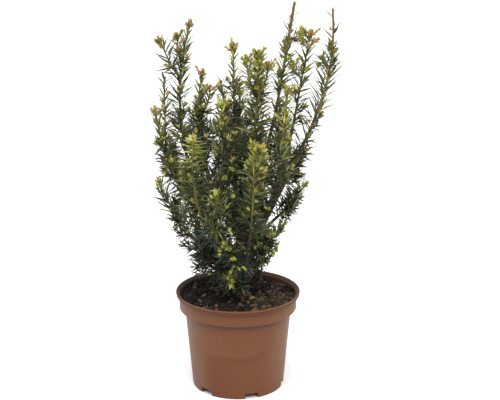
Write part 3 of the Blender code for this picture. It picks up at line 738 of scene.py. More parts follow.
DEEP, GREEN, OLIVE, YOUNG = Shade.DEEP, Shade.GREEN, Shade.OLIVE, Shade.YOUNG
BUD, TUFT, TAN, BARE = Top.BUD, Top.TUFT, Top.TAN, Top.BARE
LEADERS = tuple(Leader(*row) for row in (
    ("right_tall", "trunk", 0.72, (0.138, 0.015, 0.575), 17, 0, 0.40, 0.0062, 0.050, 9, 0.070, GREEN, OLIVE, BARE),
    ("left_tall", "trunk", 0.86, (-0.068, 0.000, 0.556), 34, -16, 0.42, 0.0046, 0.044, 7, 0.060, GREEN, OLIVE, TAN),
    ("middle_front", "trunk", 0.98, (0.031, -0.040, 0.517), 14, 4, 0.38, 0.0044, 0.044, 7, 0.055, GREEN, YOUNG, TUFT),
    ("middle_back", "trunk", 0.90, (-0.006, 0.045, 0.516), 20, 2, 0.40, 0.0042, 0.044, 6, 0.055, DEEP, OLIVE, TUFT),
    ("front_left", "trunk", 0.62, (-0.061, -0.070, 0.402), 46, 0, 0.36, 0.0040, 0.050, 6, 0.055, GREEN, YOUNG, TUFT),
    ("front_right", "trunk", 0.50, (0.024, -0.075, 0.391), 34, -6, 0.34, 0.0036, 0.044, 5, 0.055, GREEN, YOUNG, TUFT),
    ("back_middle", "trunk", 0.55, (0.003, 0.095, 0.440), 36, 0, 0.36, 0.0044, 0.050, 6, 0.055, DEEP, OLIVE, TUFT),
    ("left_low", "trunk", 0.44, (-0.116, -0.015, 0.323), 52, 22, 0.16, 0.0036, 0.046, 5, 0.050, DEEP, GREEN, TUFT),
    ("right_foot", "trunk", 0.40, (0.071, -0.020, 0.264), 50, 24, 0.30, 0.0030, 0.040, 5, 0.045, DEEP, OLIVE, BUD),
    ("front_foot", "trunk", 0.30, (-0.012, -0.060, 0.188), 62, 66, 0.06, 0.0026, 0.036, 4, 0.050, DEEP, GREEN, TUFT),
    ("right_inner", "middle_back", 0.24, (0.083, 0.020, 0.584), 30, 4, 0.44, 0.0036, 0.040, 5, 0.070, GREEN, OLIVE, BARE),
    ("right_middle", "right_tall", 0.26, (0.105, -0.015, 0.543), 20, 12, 0.44, 0.0034, 0.038, 6, 0.070, GREEN, OLIVE, TAN),
    ("right_low", "right_tall", 0.16, (0.101, 0.000, 0.316), 50, 36, 0.34, 0.0030, 0.042, 5, 0.045, DEEP, OLIVE, TUFT),
    ("right_centre", "right_tall", 0.20, (0.067, -0.045, 0.428), 28, 0, 0.36, 0.0030, 0.040, 5, 0.050, GREEN, OLIVE, TUFT),
    ("right_back", "right_tall", 0.30, (0.098, 0.045, 0.365), 30, 10, 0.30, 0.0028, 0.042, 4, 0.045, DEEP, GREEN, TUFT),
    ("left_inner", "left_tall", 0.30, (-0.052, 0.030, 0.479), 22, 0, 0.36, 0.0032, 0.040, 5, 0.050, GREEN, YOUNG, TAN),
    ("left_outer", "left_tall", 0.22, (-0.118, -0.015, 0.430), 44, 0, 0.40, 0.0032, 0.042, 6, 0.050, GREEN, OLIVE, TAN),
    ("left_back", "left_tall", 0.16, (-0.104, 0.045, 0.376), 46, 6, 0.36, 0.0030, 0.044, 5, 0.050, DEEP, GREEN, TUFT),
    ("centre", "middle_front", 0.26, (-0.022, -0.024, 0.442), 22, 0, 0.30, 0.0030, 0.042, 6, 0.050, GREEN, OLIVE, TUFT),
    ("back_left", "back_middle", 0.20, (-0.062, 0.085, 0.421), 40, 0, 0.36, 0.0030, 0.048, 5, 0.055, DEEP, OLIVE, TUFT),
    ("back_right", "back_middle", 0.26, (0.064, 0.085, 0.424), 40, 0, 0.36, 0.0030, 0.048, 5, 0.055, DEEP, OLIVE, TUFT),
    ("back_low", "back_middle", 0.12, (0.012, 0.104, 0.290), 56, 24, 0.30, 0.0026, 0.048, 4, 0.050, DEEP, GREEN, TUFT),
    ("front_middle", "front_left", 0.22, (-0.031, -0.082, 0.324), 34, 6, 0.30, 0.0026, 0.040, 4, 0.050, GREEN, OLIVE, TUFT),
    ("front_low", "front_right", 0.16, (-0.018, -0.074, 0.246), 52, 34, 0.06, 0.0022, 0.038, 4, 0.045, DEEP, GREEN, TUFT),
    ("left_tall_outer", "left_tall", 0.80, (-0.111, -0.010, 0.532), 40, 26, 0.0, 0.0018, 0.026, 1, 0.045, GREEN, OLIVE, TAN),
    ("left_tall_inner", "left_tall", 0.84, (-0.087, 0.010, 0.534), 24, 0, 0.0, 0.0017, 0.020, 0, 0.035, OLIVE, OLIVE, TUFT),
    ("left_outer_top", "left_outer", 0.66, (-0.106, -0.005, 0.478), 8, 0, 0.0, 0.0018, 0.024, 1, 0.045, GREEN, OLIVE, BUD),
    ("left_inner_low", "left_inner", 0.62, (-0.040, 0.012, 0.459), 30, 4, 0.0, 0.0018, 0.028, 1, 0.045, GREEN, OLIVE, TAN),
    ("middle_back_low", "middle_back", 0.64, (-0.024, 0.032, 0.467), 34, 4, 0.0, 0.0018, 0.028, 1, 0.045, DEEP, OLIVE, BUD),
    ("middle_front_outer", "middle_front", 0.80, (0.045, -0.045, 0.501), 32, 10, 0.0, 0.0018, 0.024, 1, 0.040, OLIVE, OLIVE, TAN),
    ("middle_front_inner", "middle_front", 0.82, (0.014, -0.047, 0.509), 30, 0, 0.0, 0.0017, 0.022, 0, 0.040, OLIVE, YOUNG, TUFT),
    ("right_inner_fork", "right_inner", 0.84, (0.094, 0.028, 0.541), 34, -4, 0.0, 0.0018, 0.020, 1, 0.035, GREEN, OLIVE, BUD),
    ("right_middle_fork", "right_middle", 0.76, (0.080, -0.020, 0.499), 28, 4, 0.0, 0.0017, 0.022, 0, 0.040, GREEN, YOUNG, TUFT),
    ("right_tall_fork", "right_tall", 0.80, (0.122, 0.000, 0.508), 26, -4, 0.0, 0.0018, 0.024, 1, 0.035, GREEN, OLIVE, BUD),
    ("right_centre_fork", "right_centre", 0.60, (0.073, -0.030, 0.463), 22, 10, 0.0, 0.0018, 0.026, 1, 0.045, OLIVE, YOUNG, TUFT),
    ("front_right_fork", "front_right", 0.70, (0.037, -0.070, 0.388), 34, 6, 0.0, 0.0018, 0.026, 0, 0.040, GREEN, YOUNG, TUFT),
    ("left_foot", "trunk", 0.34, (-0.062, 0.012, 0.236), 56, 34, 0.06, 0.0024, 0.040, 8, 0.045, DEEP, GREEN, BUD),
    ("back_foot", "trunk", 0.32, (0.030, 0.066, 0.218), 58, 40, 0.06, 0.0024, 0.044, 4, 0.045, DEEP, GREEN, BUD),
    ("front_core", "front_right", 0.30, (-0.026, -0.046, 0.350), 26, 0, 0.05, 0.0024, 0.038, 5, 0.050, DEEP, GREEN, BUD),
    ("middle_core", "middle_front", 0.12, (0.040, -0.016, 0.352), 30, 4, 0.05, 0.0024, 0.040, 5, 0.050, DEEP, GREEN, BUD),
    ("left_core", "left_tall", 0.20, (-0.066, -0.020, 0.352), 26, 4, 0.05, 0.0024, 0.040, 5, 0.050, DEEP, GREEN, BUD),
    ("back_core", "middle_back", 0.14, (-0.024, 0.053, 0.374), 30, 4, 0.05, 0.0024, 0.040, 4, 0.050, DEEP, GREEN, BUD),
))


@dataclass(frozen=True)
class Habit:
    """How one leader differs from the others."""

    reach: float = 1.0  # length of its side shoots, as a share of the rule's
    thick: float = 1.0  # how closely its needles stand
    bow: float = 0.0  # how far its upper middle bows to the right, in metres
    crowned: int = 0  # how many short new shoots stand round its tip
    spread: float = 1.0  # the higher, the nearer to its tip its needles stand off
    long: float = 1.0  # length of its own needles, as a share of the rule's
    flat: float = 0.35  # how far its own needles are combed to the left and right
    shows: bool = False  # True where no side shoot hides its stem from the front
    brown: bool = False  # True for a brown stem
    fan: bool = False  # True where the new shoots round its tip spread left and right
    star: float = 0.0  # degrees added between its last needles and its stem
    stout: float = 0.0011  # the least radius of its stem, in metres
    golden: float = 0.0  # the further share of gold in its new growth
    fresh: float = 0.0  # the further share of its shoots that end in new growth


PLAIN = Habit()
HABITS = {
    "right_tall": Habit(0.70, 1.10, 0.0085, 0, 0.8, 1.50, 0.6, stout=0.0016, golden=0.5),
    "right_inner": Habit(0.80, 1.10, -0.0060, 0, 0.7, 1.30, 0.6, stout=0.0021, golden=0.5),
    "right_middle": Habit(0.80, 1.15, 0.0, 10, 0.7, 1.25, 0.6, brown=True, fan=True, golden=0.3),
    "right_middle_fork": Habit(crowned=2, golden=0.6),
    "right_low": Habit(0.75, golden=0.5, fresh=-0.1),
    "right_foot": Habit(1.0, 1.2, -0.0110, fresh=0.6),
    "right_back": Habit(0.85, golden=0.3),
    "left_tall": Habit(1.15, 1.35, 0.0, 0, 0.9, 1.40, 0.6, brown=True, golden=0.3, fresh=0.3),
    "left_tall_outer": Habit(thick=1.4, long=1.30, flat=0.6),
    "left_tall_inner": Habit(crowned=3, golden=0.5),
    "left_inner": Habit(1.25, 1.45, -0.0080, 2, golden=0.3, fresh=0.4),
    "left_inner_low": Habit(crowned=3, golden=0.3),
    "left_outer": Habit(0.75, 1.20, 0.0030, 4),
    "left_low": Habit(0.85, 1.1, crowned=1, long=1.4, flat=0.6),
    "middle_front": Habit(0.95, 3.20, 0.0, 4, 0.9, 1.30, 0.40, True, star=14.0, golden=0.5),
    "middle_front_inner": Habit(1.0, 1.5, 0.0, 4, 2.0, golden=0.5),
    "middle_front_outer": Habit(1.0, 1.5, 0.0, 4, 2.0, golden=0.3),
    "middle_back": Habit(1.0, 1.2, 0.0, 5, golden=0.4),
    "front_left": Habit(0.85, 1.70, -0.0060, 0, 2.0, 1.15, 0.30, True, star=48.0, golden=0.10),
    "left_foot": Habit(1.2, 1.5, long=1.15, flat=0.0),
    "front_foot": Habit(1.0, 1.3, crowned=2, long=1.10, flat=0.0),
    "front_low": Habit(1.0, 1.3, long=1.10, flat=0.0, fresh=0.2),
    "front_right": Habit(0.85, 1.50, 0.0, 1, 1.3, 0.88, 0.60, True, golden=0.25),
    "front_right_fork": Habit(long=0.8, golden=0.2),
    "right_centre": Habit(crowned=3, golden=0.2),
    "right_centre_fork": Habit(crowned=3, golden=0.5),
    "centre": Habit(crowned=3),
}

# How far the crown reaches to the left, to the right, and to the front and back, at a few heights
CROWN_REACH = np.array((
    (0.150, -0.062, 0.034, 0.084),
    (0.200, -0.080, 0.044, 0.094),
    (0.250, -0.102, 0.074, 0.102),
    (0.300, -0.122, 0.102, 0.108),
    (0.340, -0.116, 0.106, 0.110),
    (0.400, -0.126, 0.134, 0.116),
    (0.460, -0.116, 0.146, 0.112),
    (0.520, -0.116, 0.158, 0.106),
    (0.620, -0.116, 0.160, 0.092),
))


@dataclass(frozen=True)
class Line:
    """The centre line of a shoot, limb or trunk, with its radius at each point."""

    points: np.ndarray
    radii: np.ndarray
    guide: np.ndarray  # the way that the frames along it are squared to

    def at(self, shares: np.ndarray) -> tuple[np.ndarray, ...]:
        """What the line is like at shares of its run.

        Args:
            shares: Each from 0 at the foot to 1 at the tip.

        Returns:
            The point, tangent, side and normal in rows, and the radii.
        """
        place = np.clip(shares, 0.0, 1.0) * (len(self.points) - 1)
        index = np.minimum(place.astype(int), len(self.points) - 2)
        part = (place - index)[:, None]
        a, b = self.points[index], self.points[index + 1]
        tangent = unit(b - a)
        side = unit(np.cross(self.guide, tangent))
        radius = self.radii[index] + (self.radii[index + 1] - self.radii[index]) * part[:, 0]
        return a + (b - a) * part, tangent, side, np.cross(tangent, side), radius

    def length(self, first: float = 0.0, last: float = 1.0) -> float:
        """How long the line is between two shares.

        Args:
            first: The lower share.
            last: The upper share.

        Returns:
            The length in metres.
        """
        spots = self.at(np.linspace(first, last, 41))[0]
        return float(np.linalg.norm(np.diff(spots, axis=0), axis=1).sum())


def trunk_line(steps: int = 24) -> Line:
    """The trunk's centre line: a flared foot, then an even taper with a slight lean.

    Args:
        steps: How many stretches it has.

    Returns:
        The line.
    """
    foot, top = np.array((0.008, 0.0, SOIL_LEVEL + GAP)), np.array((0.003, 0.004, 0.184))
    share = np.linspace(0.0, 1.0, steps + 1)[:, None]
    lean = np.concatenate([share**2, share**2, share], axis=1)
    points = foot + (top - foot) * lean
    flare = np.exp(-(points[:, 2] - foot[2]) / 0.006)
    radii = 0.0085 + (0.0068 - 0.0085) * share[:, 0] + 0.0040 * flare
    return Line(points, radii, np.array((0.0, 1.0, 0.0)))


def leader_line(leader: Leader, start: np.ndarray, steps: int = 48) -> Line:
    """A leader's centre line: it leaves its parent leaning towards its tip, and sweeps upright.

    Args:
        leader: The leader.
        start: Where it leaves its parent.
        steps: How many stretches the line has.

    Returns:
        The line.
    """
    tip = np.array(leader.tip)
    away = unit((tip - start) * (1.0, 1.0, 0.0))
    leave, end = math.radians(leader.leave), math.radians(leader.finish)
    reach = 0.36 * np.linalg.norm(tip - start)
    first = start + reach * (away * math.sin(leave) + UP * math.cos(leave))
    second = tip - reach * (away * math.sin(end) + UP * math.cos(end))
    t = np.linspace(0.0, 1.0, steps + 1)[:, None]
    u = 1 - t
    points = u**3 * start + 3 * u * u * t * first + 3 * u * t * t * second + t**3 * tip
    points += HABITS.get(leader.name, PLAIN).bow * np.sin(np.pi * t**1.6) * (1.0, 0.0, 0.0)
    radii = leader.radius + (0.0011 - leader.radius) * t[:, 0] ** 0.85
    return Line(points, radii, np.array((0.0, 1.0, 0.0)))


def in_crown(spots: np.ndarray, over: float = 0.0) -> np.ndarray:
    """Whether each spot is inside the crown's reach, a rounded oval at every height.

    Args:
        spots: One spot in each row.
        over: How far outside it a spot may be.

    Returns:
        True for each spot inside.
    """
    heights, lefts, rights, depths = CROWN_REACH.T
    left, right, depth = (np.interp(spots[:, 2], heights, row) for row in (lefts, rights, depths))
    across = np.abs(spots[:, 0] - (left + right) / 2) / ((right - left) / 2 + over)
    return across**3 + (np.abs(spots[:, 1]) / (depth + over)) ** 3 <= 1.0


class Room:
    """Which mass each place belongs to, and where the limbs are."""

    def __init__(self, lines: dict[str, Line], leaders: dict[str, Leader]) -> None:
        """Reads the places of the stems and the limbs.

        Args:
            lines: The line of the trunk and of each leader.
            leaders: The leaders by name.
        """
        stems, owners, limbs, girths = [], [], [], []
        for name, line in lines.items():
            shares = np.linspace(0.0, 1.0, max(3, round(line.length() / 0.004)))
            points, radii = line.at(shares)[0], line.at(shares)[4]
            enter = leaders[name].enter if name in leaders else 2.0
            bare = shares < enter
            limbs.append(points[bare])
            girths.append(radii[bare])
            if name in leaders:
                stems.append(points[~bare])
                owners += [leaders[name].mass] * int((~bare).sum())
        self.stems, self.owners = np.concatenate(stems), np.array(owners)
        self.limbs, self.girths = np.concatenate(limbs), np.concatenate(girths)

    def holds(self, mass: str, spots: np.ndarray, margin: float) -> bool:
        """True if every spot is in this mass's own space, clear of the limbs, the soil and the pot.

        Args:
            mass: The mass's name.
            spots: One spot in each row.
            margin: How much nearer to its own stems than to others each has to be.

        Returns:
            Whether all of them are.
        """
        if not in_crown(spots).all():
            return False
        away = np.linalg.norm(self.stems[None] - spots[:, None], axis=2)
        own = self.owners == mass
        if (away[:, own].min(axis=1) + margin > away[:, ~own].min(axis=1)).any():
            return False
        off = np.linalg.norm(self.limbs[None] - spots[:, None], axis=2) - self.girths
        if (off.min(axis=1) < 0.0024).any():
            return False
        return above_pot(spots, 0.004).all()


def above_pot(spots: np.ndarray, clear: float) -> np.ndarray:
    """Whether each spot is above the soil and clear of the pot's rim.

    Args:
        spots: One spot in each row.
        clear: How much it keeps off them.

    Returns:
        True for each spot that is.
    """
    across = np.hypot(spots[:, 0], spots[:, 1])
    low = spots[:, 2] < SOIL_LEVEL + clear
    rim = (across > 0.0873) & (across < 0.0975) & (spots[:, 2] < 0.151 + clear / 2)
    return ~(low & (across < 0.0975)) & ~rim


@dataclass(frozen=True)
class Look:
    """How a kind of shoot carries its needles."""

    pitch: float  # along the shoot from one needle to the next
    length: float
    width: float
    open_foot: float  # degrees between needle and shoot at the foot
    open_tip: float  # and at the tip
    flat: float  # 0 for needles all round, up to 1 for needles in two ranks
    sky: float  # how far their upper sides turn up
    tip_size: float  # size of the last needles


class Kind(Enum):
    """The kinds of shoot, and how each carries its needles."""

    LEADER = Look(0.0018, 0.0262, 0.0029, 74.0, 26.0, 0.35, 0.2, 0.62)
    SIDE = Look(0.0017, 0.0225, 0.0028, 66.0, 34.0, 0.70, 0.6, 0.62)
    TWIG = Look(0.0018, 0.0175, 0.0025, 60.0, 32.0, 0.70, 0.7, 0.60)
    YOUNG = Look(0.0014, 0.0140, 0.0026, 54.0, 22.0, 0.20, 0.5, 0.60)
    CROWN = Look(0.0010, 0.0100, 0.0022, 52.0, 16.0, 0.0, 0.5, 0.75)


@dataclass(frozen=True)
class Shoot:
    """One needled shoot."""

    line: Line
    first: float  # share of its line where its needles start
    kind: Kind
    low: Shade
    high: Shade
    top: Top
    seed: int
    habit: Habit = PLAIN
    golden: float = 0.0  # the further share of gold in its new growth


class Growth:
    """Grows every line and shoot of the plant."""

    SIDE_CLEAR = 0.25  # the foot of a side shoot isn't tested for room
    TRIES = 7

    def __init__(self) -> None:
        """Works out the lines of the trunk and the leaders."""
        self.leaders = {leader.name: leader for leader in LEADERS}
        self.lines = {"trunk": trunk_line()}
        for leader in LEADERS:
            parent = self.lines[leader.parent]
            start = parent.at(np.array([leader.at]))[0][0]
            self.lines[leader.name] = leader_line(leader, start)
        self.room = Room(self.lines, self.leaders)

    def crown(self, leader: Leader) -> float:
        """The length of the top run of a leader that carries needles alone."""
        return min(leader.crown, 0.85 * self.lines[leader.name].length())

    def shoot_line(self, root: np.ndarray, way: np.ndarray, length: float, roll: float, foot: float) -> Line:
        """A side shoot's centre line: straight out, and curving up towards its tip.

        Args:
            root: Where it leaves.
            way: Its direction, one long.
            length: How long it is.
            roll: How far its two ranks of needles are turned about it.
            foot: Its radius where it leaves.

        Returns:
            The line.
        """
        side = unit(np.cross(UP, way))
        normal = np.cross(way, side)
        x = np.linspace(0.0, length, 11)[:, None]
        points = root + way * x + normal * 0.16 * x * x / length
        radii = foot + (0.0007 - foot) * (x[:, 0] / length) ** 0.8
        return Line(points, radii, normal * math.cos(roll) - side * math.sin(roll))

    def side_shoots(self, leader: Leader, finer: int) -> Iterator[tuple[Line, float]]:
        """A leader's side shoots by the source's rule, each the first way round that has room.

        Args:
            leader: The leader.
            finer: 0 for the source's own shoots; 1 and up for rounds of shorter ones between them.

        Yields:
            The line of each, and its share along the leader.
        """
        line = self.lines[leader.name]
        chance = random.Random(leader.seed + 1000 * finer)
        first = leader.enter * (0.6 if finer == 2 else 1.0) + (0.04 if leader.enter > 0.1 else 0.14)
        last = 1.0 - (0.75 if not finer else 0.35) * self.crown(leader) / line.length()
        turn = chance.uniform(0.0, 2 * math.pi)
        count = leader.sprays if not finer else leader.sprays + 2
        for index in range(count):
            share = (index + chance.uniform(0.2, 0.8)) / count
            point, tangent, side, normal, radius = (v[0] for v in line.at(np.array([first + (last - first) * share])))
            lean = math.radians(58 - 18 * share)
            length = leader.spray * (1.0 - 0.45 * share) * chance.uniform(0.85, 1.1) * (1.0 if not finer else 0.62)
            roll = math.radians(48 + chance.uniform(-12, 12)) * (1 if index % 2 else -1)
            found = None
            for shorter in (1.0, 0.8, 0.64, 0.5):
                for attempt in range(self.TRIES):
                    around = turn + attempt * 2 * math.pi / self.TRIES
                    across = -side * math.cos(around) - normal * math.sin(around)
                    way = unit(tangent * math.cos(lean) + across * math.sin(lean))
                    foot = min(0.8 * radius, 0.0013)
                    found = self.shoot_line(point, way, length * shorter, roll, foot)
                    tested = found.at(np.linspace(self.SIDE_CLEAR, 1.0, 7))[0]
                    if self.room.holds(leader.mass, tested, 0.0):
                        break
                    found = None
                if found:
                    break
            turn += GOLDEN_ANGLE
            if found and (not finer or chance.random() < 1.1 - self.open(leader, point[2])):
                full = (1.0 - 0.42 * self.open(leader, point[2])) * HABITS.get(leader.name, PLAIN).reach
                if HABITS.get(leader.name, PLAIN).shows and way[1] < -0.25 and share > 0.15:
                    continue
                yield Line(point + (found.points - point) * full, found.radii, found.guide), share

    @staticmethod
    def open(leader: Leader, height: float) -> float:
        """How open the crown is, from 0 in its dense middle to 1 at its top; the right side opens lower.

        Args:
            leader: The leader in question.
            height: The height there.

        Returns:
            The openness.
        """
        for region, low, high in ((Region.RIGHT, 0.29, 0.40), (Region.LEFT, 0.31, 0.44)):
            if region.holds(leader.mass):
                return float(np.interp(height, (low, high), (0.0, 1.0)))
        return float(np.interp(height, (0.36, 0.47), (0.0, 1.0)))

    def twigs(self, parent: Line, mass: str, seed: int) -> Iterator[Line]:
        """The twigs of a side shoot, alternately left and right of it.

        Args:
            parent: The side shoot's line.
            mass: The mass it belongs to.
            seed: The twigs' seed.

        Yields:
            The line of each.
        """
        chance = random.Random(seed)
        length = parent.length()
        count = max(1, round(length / 0.021))
        for index in range(count):
            share = 0.16 + 0.62 * (index + chance.uniform(0.2, 0.8)) / count
            point, tangent, side, normal, radius = (v[0] for v in parent.at(np.array([share])))
            hand = 1 if index % 2 else -1
            lean = math.radians(chance.uniform(36, 52))
            lift = chance.uniform(-0.25, 0.55)
            way = unit(tangent * math.cos(lean) + (hand * side + lift * normal) * math.sin(lean))
            size = length * (0.62 - 0.34 * share) * chance.uniform(0.8, 1.15)
            made = self.shoot_line(point, way, size, chance.uniform(-0.5, 0.5), 0.0009)
            if self.room.holds(mass, made.at(np.linspace(0.5, 1.0, 4))[0], -0.006):
                yield made

    def crowning(self, leader: Leader) -> Iterator[Shoot]:
        """The short new shoots round a leader's tip.

        Args:
            leader: The leader.

        Yields:
            Each shoot.
        """
        chance = random.Random(leader.seed + 5)
        habit = HABITS.get(leader.name, PLAIN)
        line = self.lines[leader.name]
        length, around = line.length(), chance.uniform(0.0, 2 * math.pi)
        last = 1.0 - (0.060 / length if leader.top is BARE else 0.0)
        for index in range(habit.crowned):
            share = last - (0.001 + 0.0022 * index) / length
            point, tangent, side, normal, radius = (v[0] for v in line.at(np.array([share])))
            around += GOLDEN_ANGLE
            lean = math.radians(chance.uniform(38, 72))
            tan = leader.top is TAN and chance.random() < 0.5
            longer = 1.0
            if habit.fan:
                tan = index % 3 == 1
                around = (0.0 if tan else math.pi) + chance.uniform(-0.5, 0.5)
                lean += math.radians(12)
                longer = 1.0 if tan else 1.3
            out = math.cos(around) * side + math.sin(around) * normal
            way = unit(tangent * math.cos(lean) + out * math.sin(lean))
            small = self.shoot_line(point, way, longer * chance.uniform(0.009, 0.015), 0.0, 0.0009)
            low, high = (Shade.TAN, Shade.TAN) if tan else (YOUNG, Shade.FRESH)
            yield Shoot(small, 0.25, Kind.CROWN, low, high, TAN if tan else TUFT, leader.seed * 31 + index,
                        golden=habit.golden)

    def shoots(self, region: Region) -> Iterator[Shoot]:
        """Every needled shoot of one side of the crown.

        Args:
            region: The side.

        Yields:
            Each shoot.
        """
        for leader in (x for x in LEADERS if region.holds(x.mass)):
            line, habit = self.lines[leader.name], HABITS.get(leader.name, PLAIN)
            yield Shoot(line, max(leader.enter, 0.04), Kind.LEADER, leader.low, leader.high, leader.top, leader.seed,
                        habit, habit.golden)
            yield from self.crowning(leader)
            for finer in range(3):
                for number, (side, share) in enumerate(self.side_shoots(leader, finer)):
                    seed = leader.seed * 100 + 30 * finer + number
                    chance = random.Random(seed)
                    height = side.points[0][2]
                    most = SHADES[min(SHADES.index(leader.high), 3 if share > 0.55 else 2)]
                    # Lower shoots, and those near a leader's foot, keep the darker shade more often: partly older
                    # needles, partly painted shade
                    light = share * float(np.interp(height, (0.20, 0.32), (0.6, 1.3)))
                    high = most if chance.random() < light else leader.low
                    fresh = float(np.interp(height, (0.25, 0.45), (0.16, 0.60))) + habit.fresh
                    top = BUD if chance.random() > fresh else TAN if leader.top in (TAN, BARE) and share > 0.6 else TUFT
                    openness = self.open(leader, height) + chance.uniform(-0.2, 0.2)
                    kind = Kind.YOUNG if openness > 0.9 else Kind.SIDE
                    low = SHADES[min(SHADES.index(leader.low), 1)]
                    yield Shoot(side, 0.08, kind, high if kind is Kind.YOUNG else low, high, top, seed,
                                golden=habit.golden)
                    if kind is Kind.YOUNG or finer == 2 or openness > 0.7:
                        continue
                    for small, twig in enumerate(self.twigs(side, leader.mass, seed)):
                        top = TUFT if chance.random() < 0.6 * fresh else BUD
                        yield Shoot(twig, 0.12, Kind.TWIG, low, high, top, seed * 10 + small, golden=habit.golden)


# ---------------------------------------------------------------------------------------------
# The plant
# ---------------------------------------------------------------------------------------------


NEEDLE = needle_shape(((0.0, 0.28, 0.12), (0.10, 0.72, 0.18), (0.36, 1.0, 0.21), (0.80, 0.78, 0.16)))
YOUNG_NEEDLE = needle_shape(((0.0, 0.45, 0.20), (0.35, 1.0, 0.26), (0.80, 0.85, 0.20)))
TWIG_TUBE = tube_shape(6, 10)
BUD_BALL = ball_shape(1)


@dataclass
class Foliage:
    """One side of the crown: needles, twigs and new growth, each kind joined as one piece."""

    region: Region
    growth: Growth
    needle_thickness: float = 0.0020
    tuft_needles: int = 9
    tuft_length: float = 0.0074
    tuft_width: float = 0.0024
    roll: float = 0.45  # how far needles are turned about their own length, in radians
    bare: float = 0.052  # length of the bare top of the tallest shoots
    needles: Heap = field(init=False)
    stems: Heap = field(init=False)
    fresh: Heap = field(init=False)

    def __post_init__(self) -> None:
        """Starts the side's heaps."""
        name = self.region.name.lower()
        sides = tuple(finish for shade in SHADES for finish in shade.value)
        self.needles = Heap(f"needles_{name}", sides)
        self.stems = Heap(f"twigs_{name}", TWIG_FINISHES)
        self.fresh = Heap(f"new_growth_{name}", (*sides, BUD_SCALE))

    def place_needles(self, heap: Heap, shape: Shape, root: np.ndarray, way: np.ndarray, upper: np.ndarray,
                      length: np.ndarray, width: np.ndarray, thick: float, bend: np.ndarray,
                      sweep: np.ndarray, shade: np.ndarray) -> None:
        """Adds needles to a heap, leaving out what would leave the crown or meet the pot.

        Args:
            heap: Where they go.
            shape: The needle that is copied.
            root: The foot of each.
            way: The direction in which each starts.
            upper: The way its upper side faces, roughly.
            length: How long each is.
            width: How wide each is.
            thick: Their thickness at the ridge.
            bend: How far each bends towards its upper side, as a share of its length.
            sweep: How far each bends sideways.
            shade: The number of each one's shade.
        """
        normal = unit(upper - way * (upper * way).sum(axis=1, keepdims=True))
        side = np.cross(normal, way)
        tip = root + way * length[:, None] + normal * (bend * length)[:, None]
        kept = in_crown(tip, 0.008) & above_pot(tip, 0.001)
        x, y, z = shape.points.T[:, None, :, None]
        size, half = length[kept, None, None], width[kept, None, None] / 2
        placed = (root[kept, None] + way[kept, None] * size * x
                  + side[kept, None] * (half * y + sweep[kept, None, None] * size * x * x)
                  + normal[kept, None] * (thick * z + bend[kept, None, None] * size * x * x))
        heap.add(shape, placed, 2 * shade[kept, None] + shape.sides[None])

    def clothe(self, shoot: Shoot) -> None:
        """Covers a shoot with needles in a spiral.

        Args:
            shoot: The shoot.
        """
        look: Look = shoot.kind.value
        chance = np.random.default_rng(shoot.seed)
        last = 1.0
        if shoot.top is BARE:
            last -= self.bare / shoot.line.length()
        count = max(4, int(shoot.line.length(shoot.first, last) / look.pitch * shoot.habit.thick))
        share = (np.arange(count) + chance.uniform(0.2, 0.8, count)) / count
        if shoot.top is BARE:
            share = np.concatenate([share, 1.0 + (np.arange(7) + 0.5) / 7 * (1.0 - last) / (last - shoot.first)])
            count += 7
        point, tangent, side, normal, radius = shoot.line.at(shoot.first + (last - shoot.first) * share)
        lone = share > 1.0
        share = np.minimum(share, 1.0)
        around = chance.uniform(0, 2 * math.pi) + GOLDEN_ANGLE * np.arange(count) + chance.normal(0, 0.16, count)
        around = np.where(lone, math.pi * (np.arange(count) % 2) + chance.normal(0, 0.5, count), around)
        flat = shoot.habit.flat if shoot.kind is Kind.LEADER else look.flat
        around -= 0.5 * flat * np.sin(2 * around)
        out = np.cos(around)[:, None] * side + np.sin(around)[:, None] * normal
        lean = look.open_foot + (look.open_tip + shoot.habit.star - look.open_foot) * share**shoot.habit.spread
        lean = np.radians(np.where(lone, 36.0, lean) + chance.normal(0, 6, count))
        way = np.cos(lean)[:, None] * tangent + np.sin(lean)[:, None] * out
        upper = np.sin(lean)[:, None] * tangent - np.cos(lean)[:, None] * out + look.sky * UP
        upper = unit(upper - way * (upper * way).sum(axis=1, keepdims=True))
        roll = chance.normal(0, self.roll, count)[:, None]
        upper = np.cos(roll) * upper + np.sin(roll) * np.cross(upper, way)
        foot = 0.95 if shoot.kind is Kind.LEADER else 0.78
        size = look.length * np.interp(share, (0.0, 0.15, 0.75, 1.0), (foot, 1.0, 1.0, look.tip_size))
        if shoot.top is TAN:
            size *= np.interp(share, (0.86, 0.98), (1.0, 0.55))
        size *= shoot.habit.long
        if shoot.kind in (Kind.LEADER, Kind.SIDE):
            size *= np.interp(point[:, 2], (0.38, 0.52), (1.0, 0.80))
        size *= chance.uniform(0.84, 1.1, count) * np.where(lone, 1.25, 1.0)
        width = look.width * shoot.habit.long**0.5 * chance.uniform(0.88, 1.1, count)
        low, high = SHADES.index(shoot.low), SHADES.index(shoot.high)
        place = share + chance.normal(0, 0.16, count)
        shade = np.where(place > 0.80, high, np.where(place > 0.46, max(low, min(high, SHADES.index(OLIVE))), low))
        odd = chance.random(count)
        shade = shade + np.where(odd < 0.14, 1, 0) * (shade < 3) - np.where(odd > 0.86, 1, 0) * (shade > 0)
        if shoot.kind is Kind.LEADER and shoot.top is TUFT:
            shade = np.where(place > 0.88, min(high + 1, SHADES.index(YOUNG)), shade)
            new = np.where(chance.random(count) < shoot.golden, SHADES.index(Shade.GOLD), SHADES.index(Shade.FRESH))
            shade = np.where((place > 0.96) & (odd > 0.45) & (point[:, 2] > 0.26), new, shade)
        self.place_needles(self.needles, NEEDLE, point + out * radius[:, None] * 0.6, way, upper, size, width,
                           self.needle_thickness, chance.normal(-0.09, 0.09, count), chance.normal(0, 0.07, count),
                           shade)

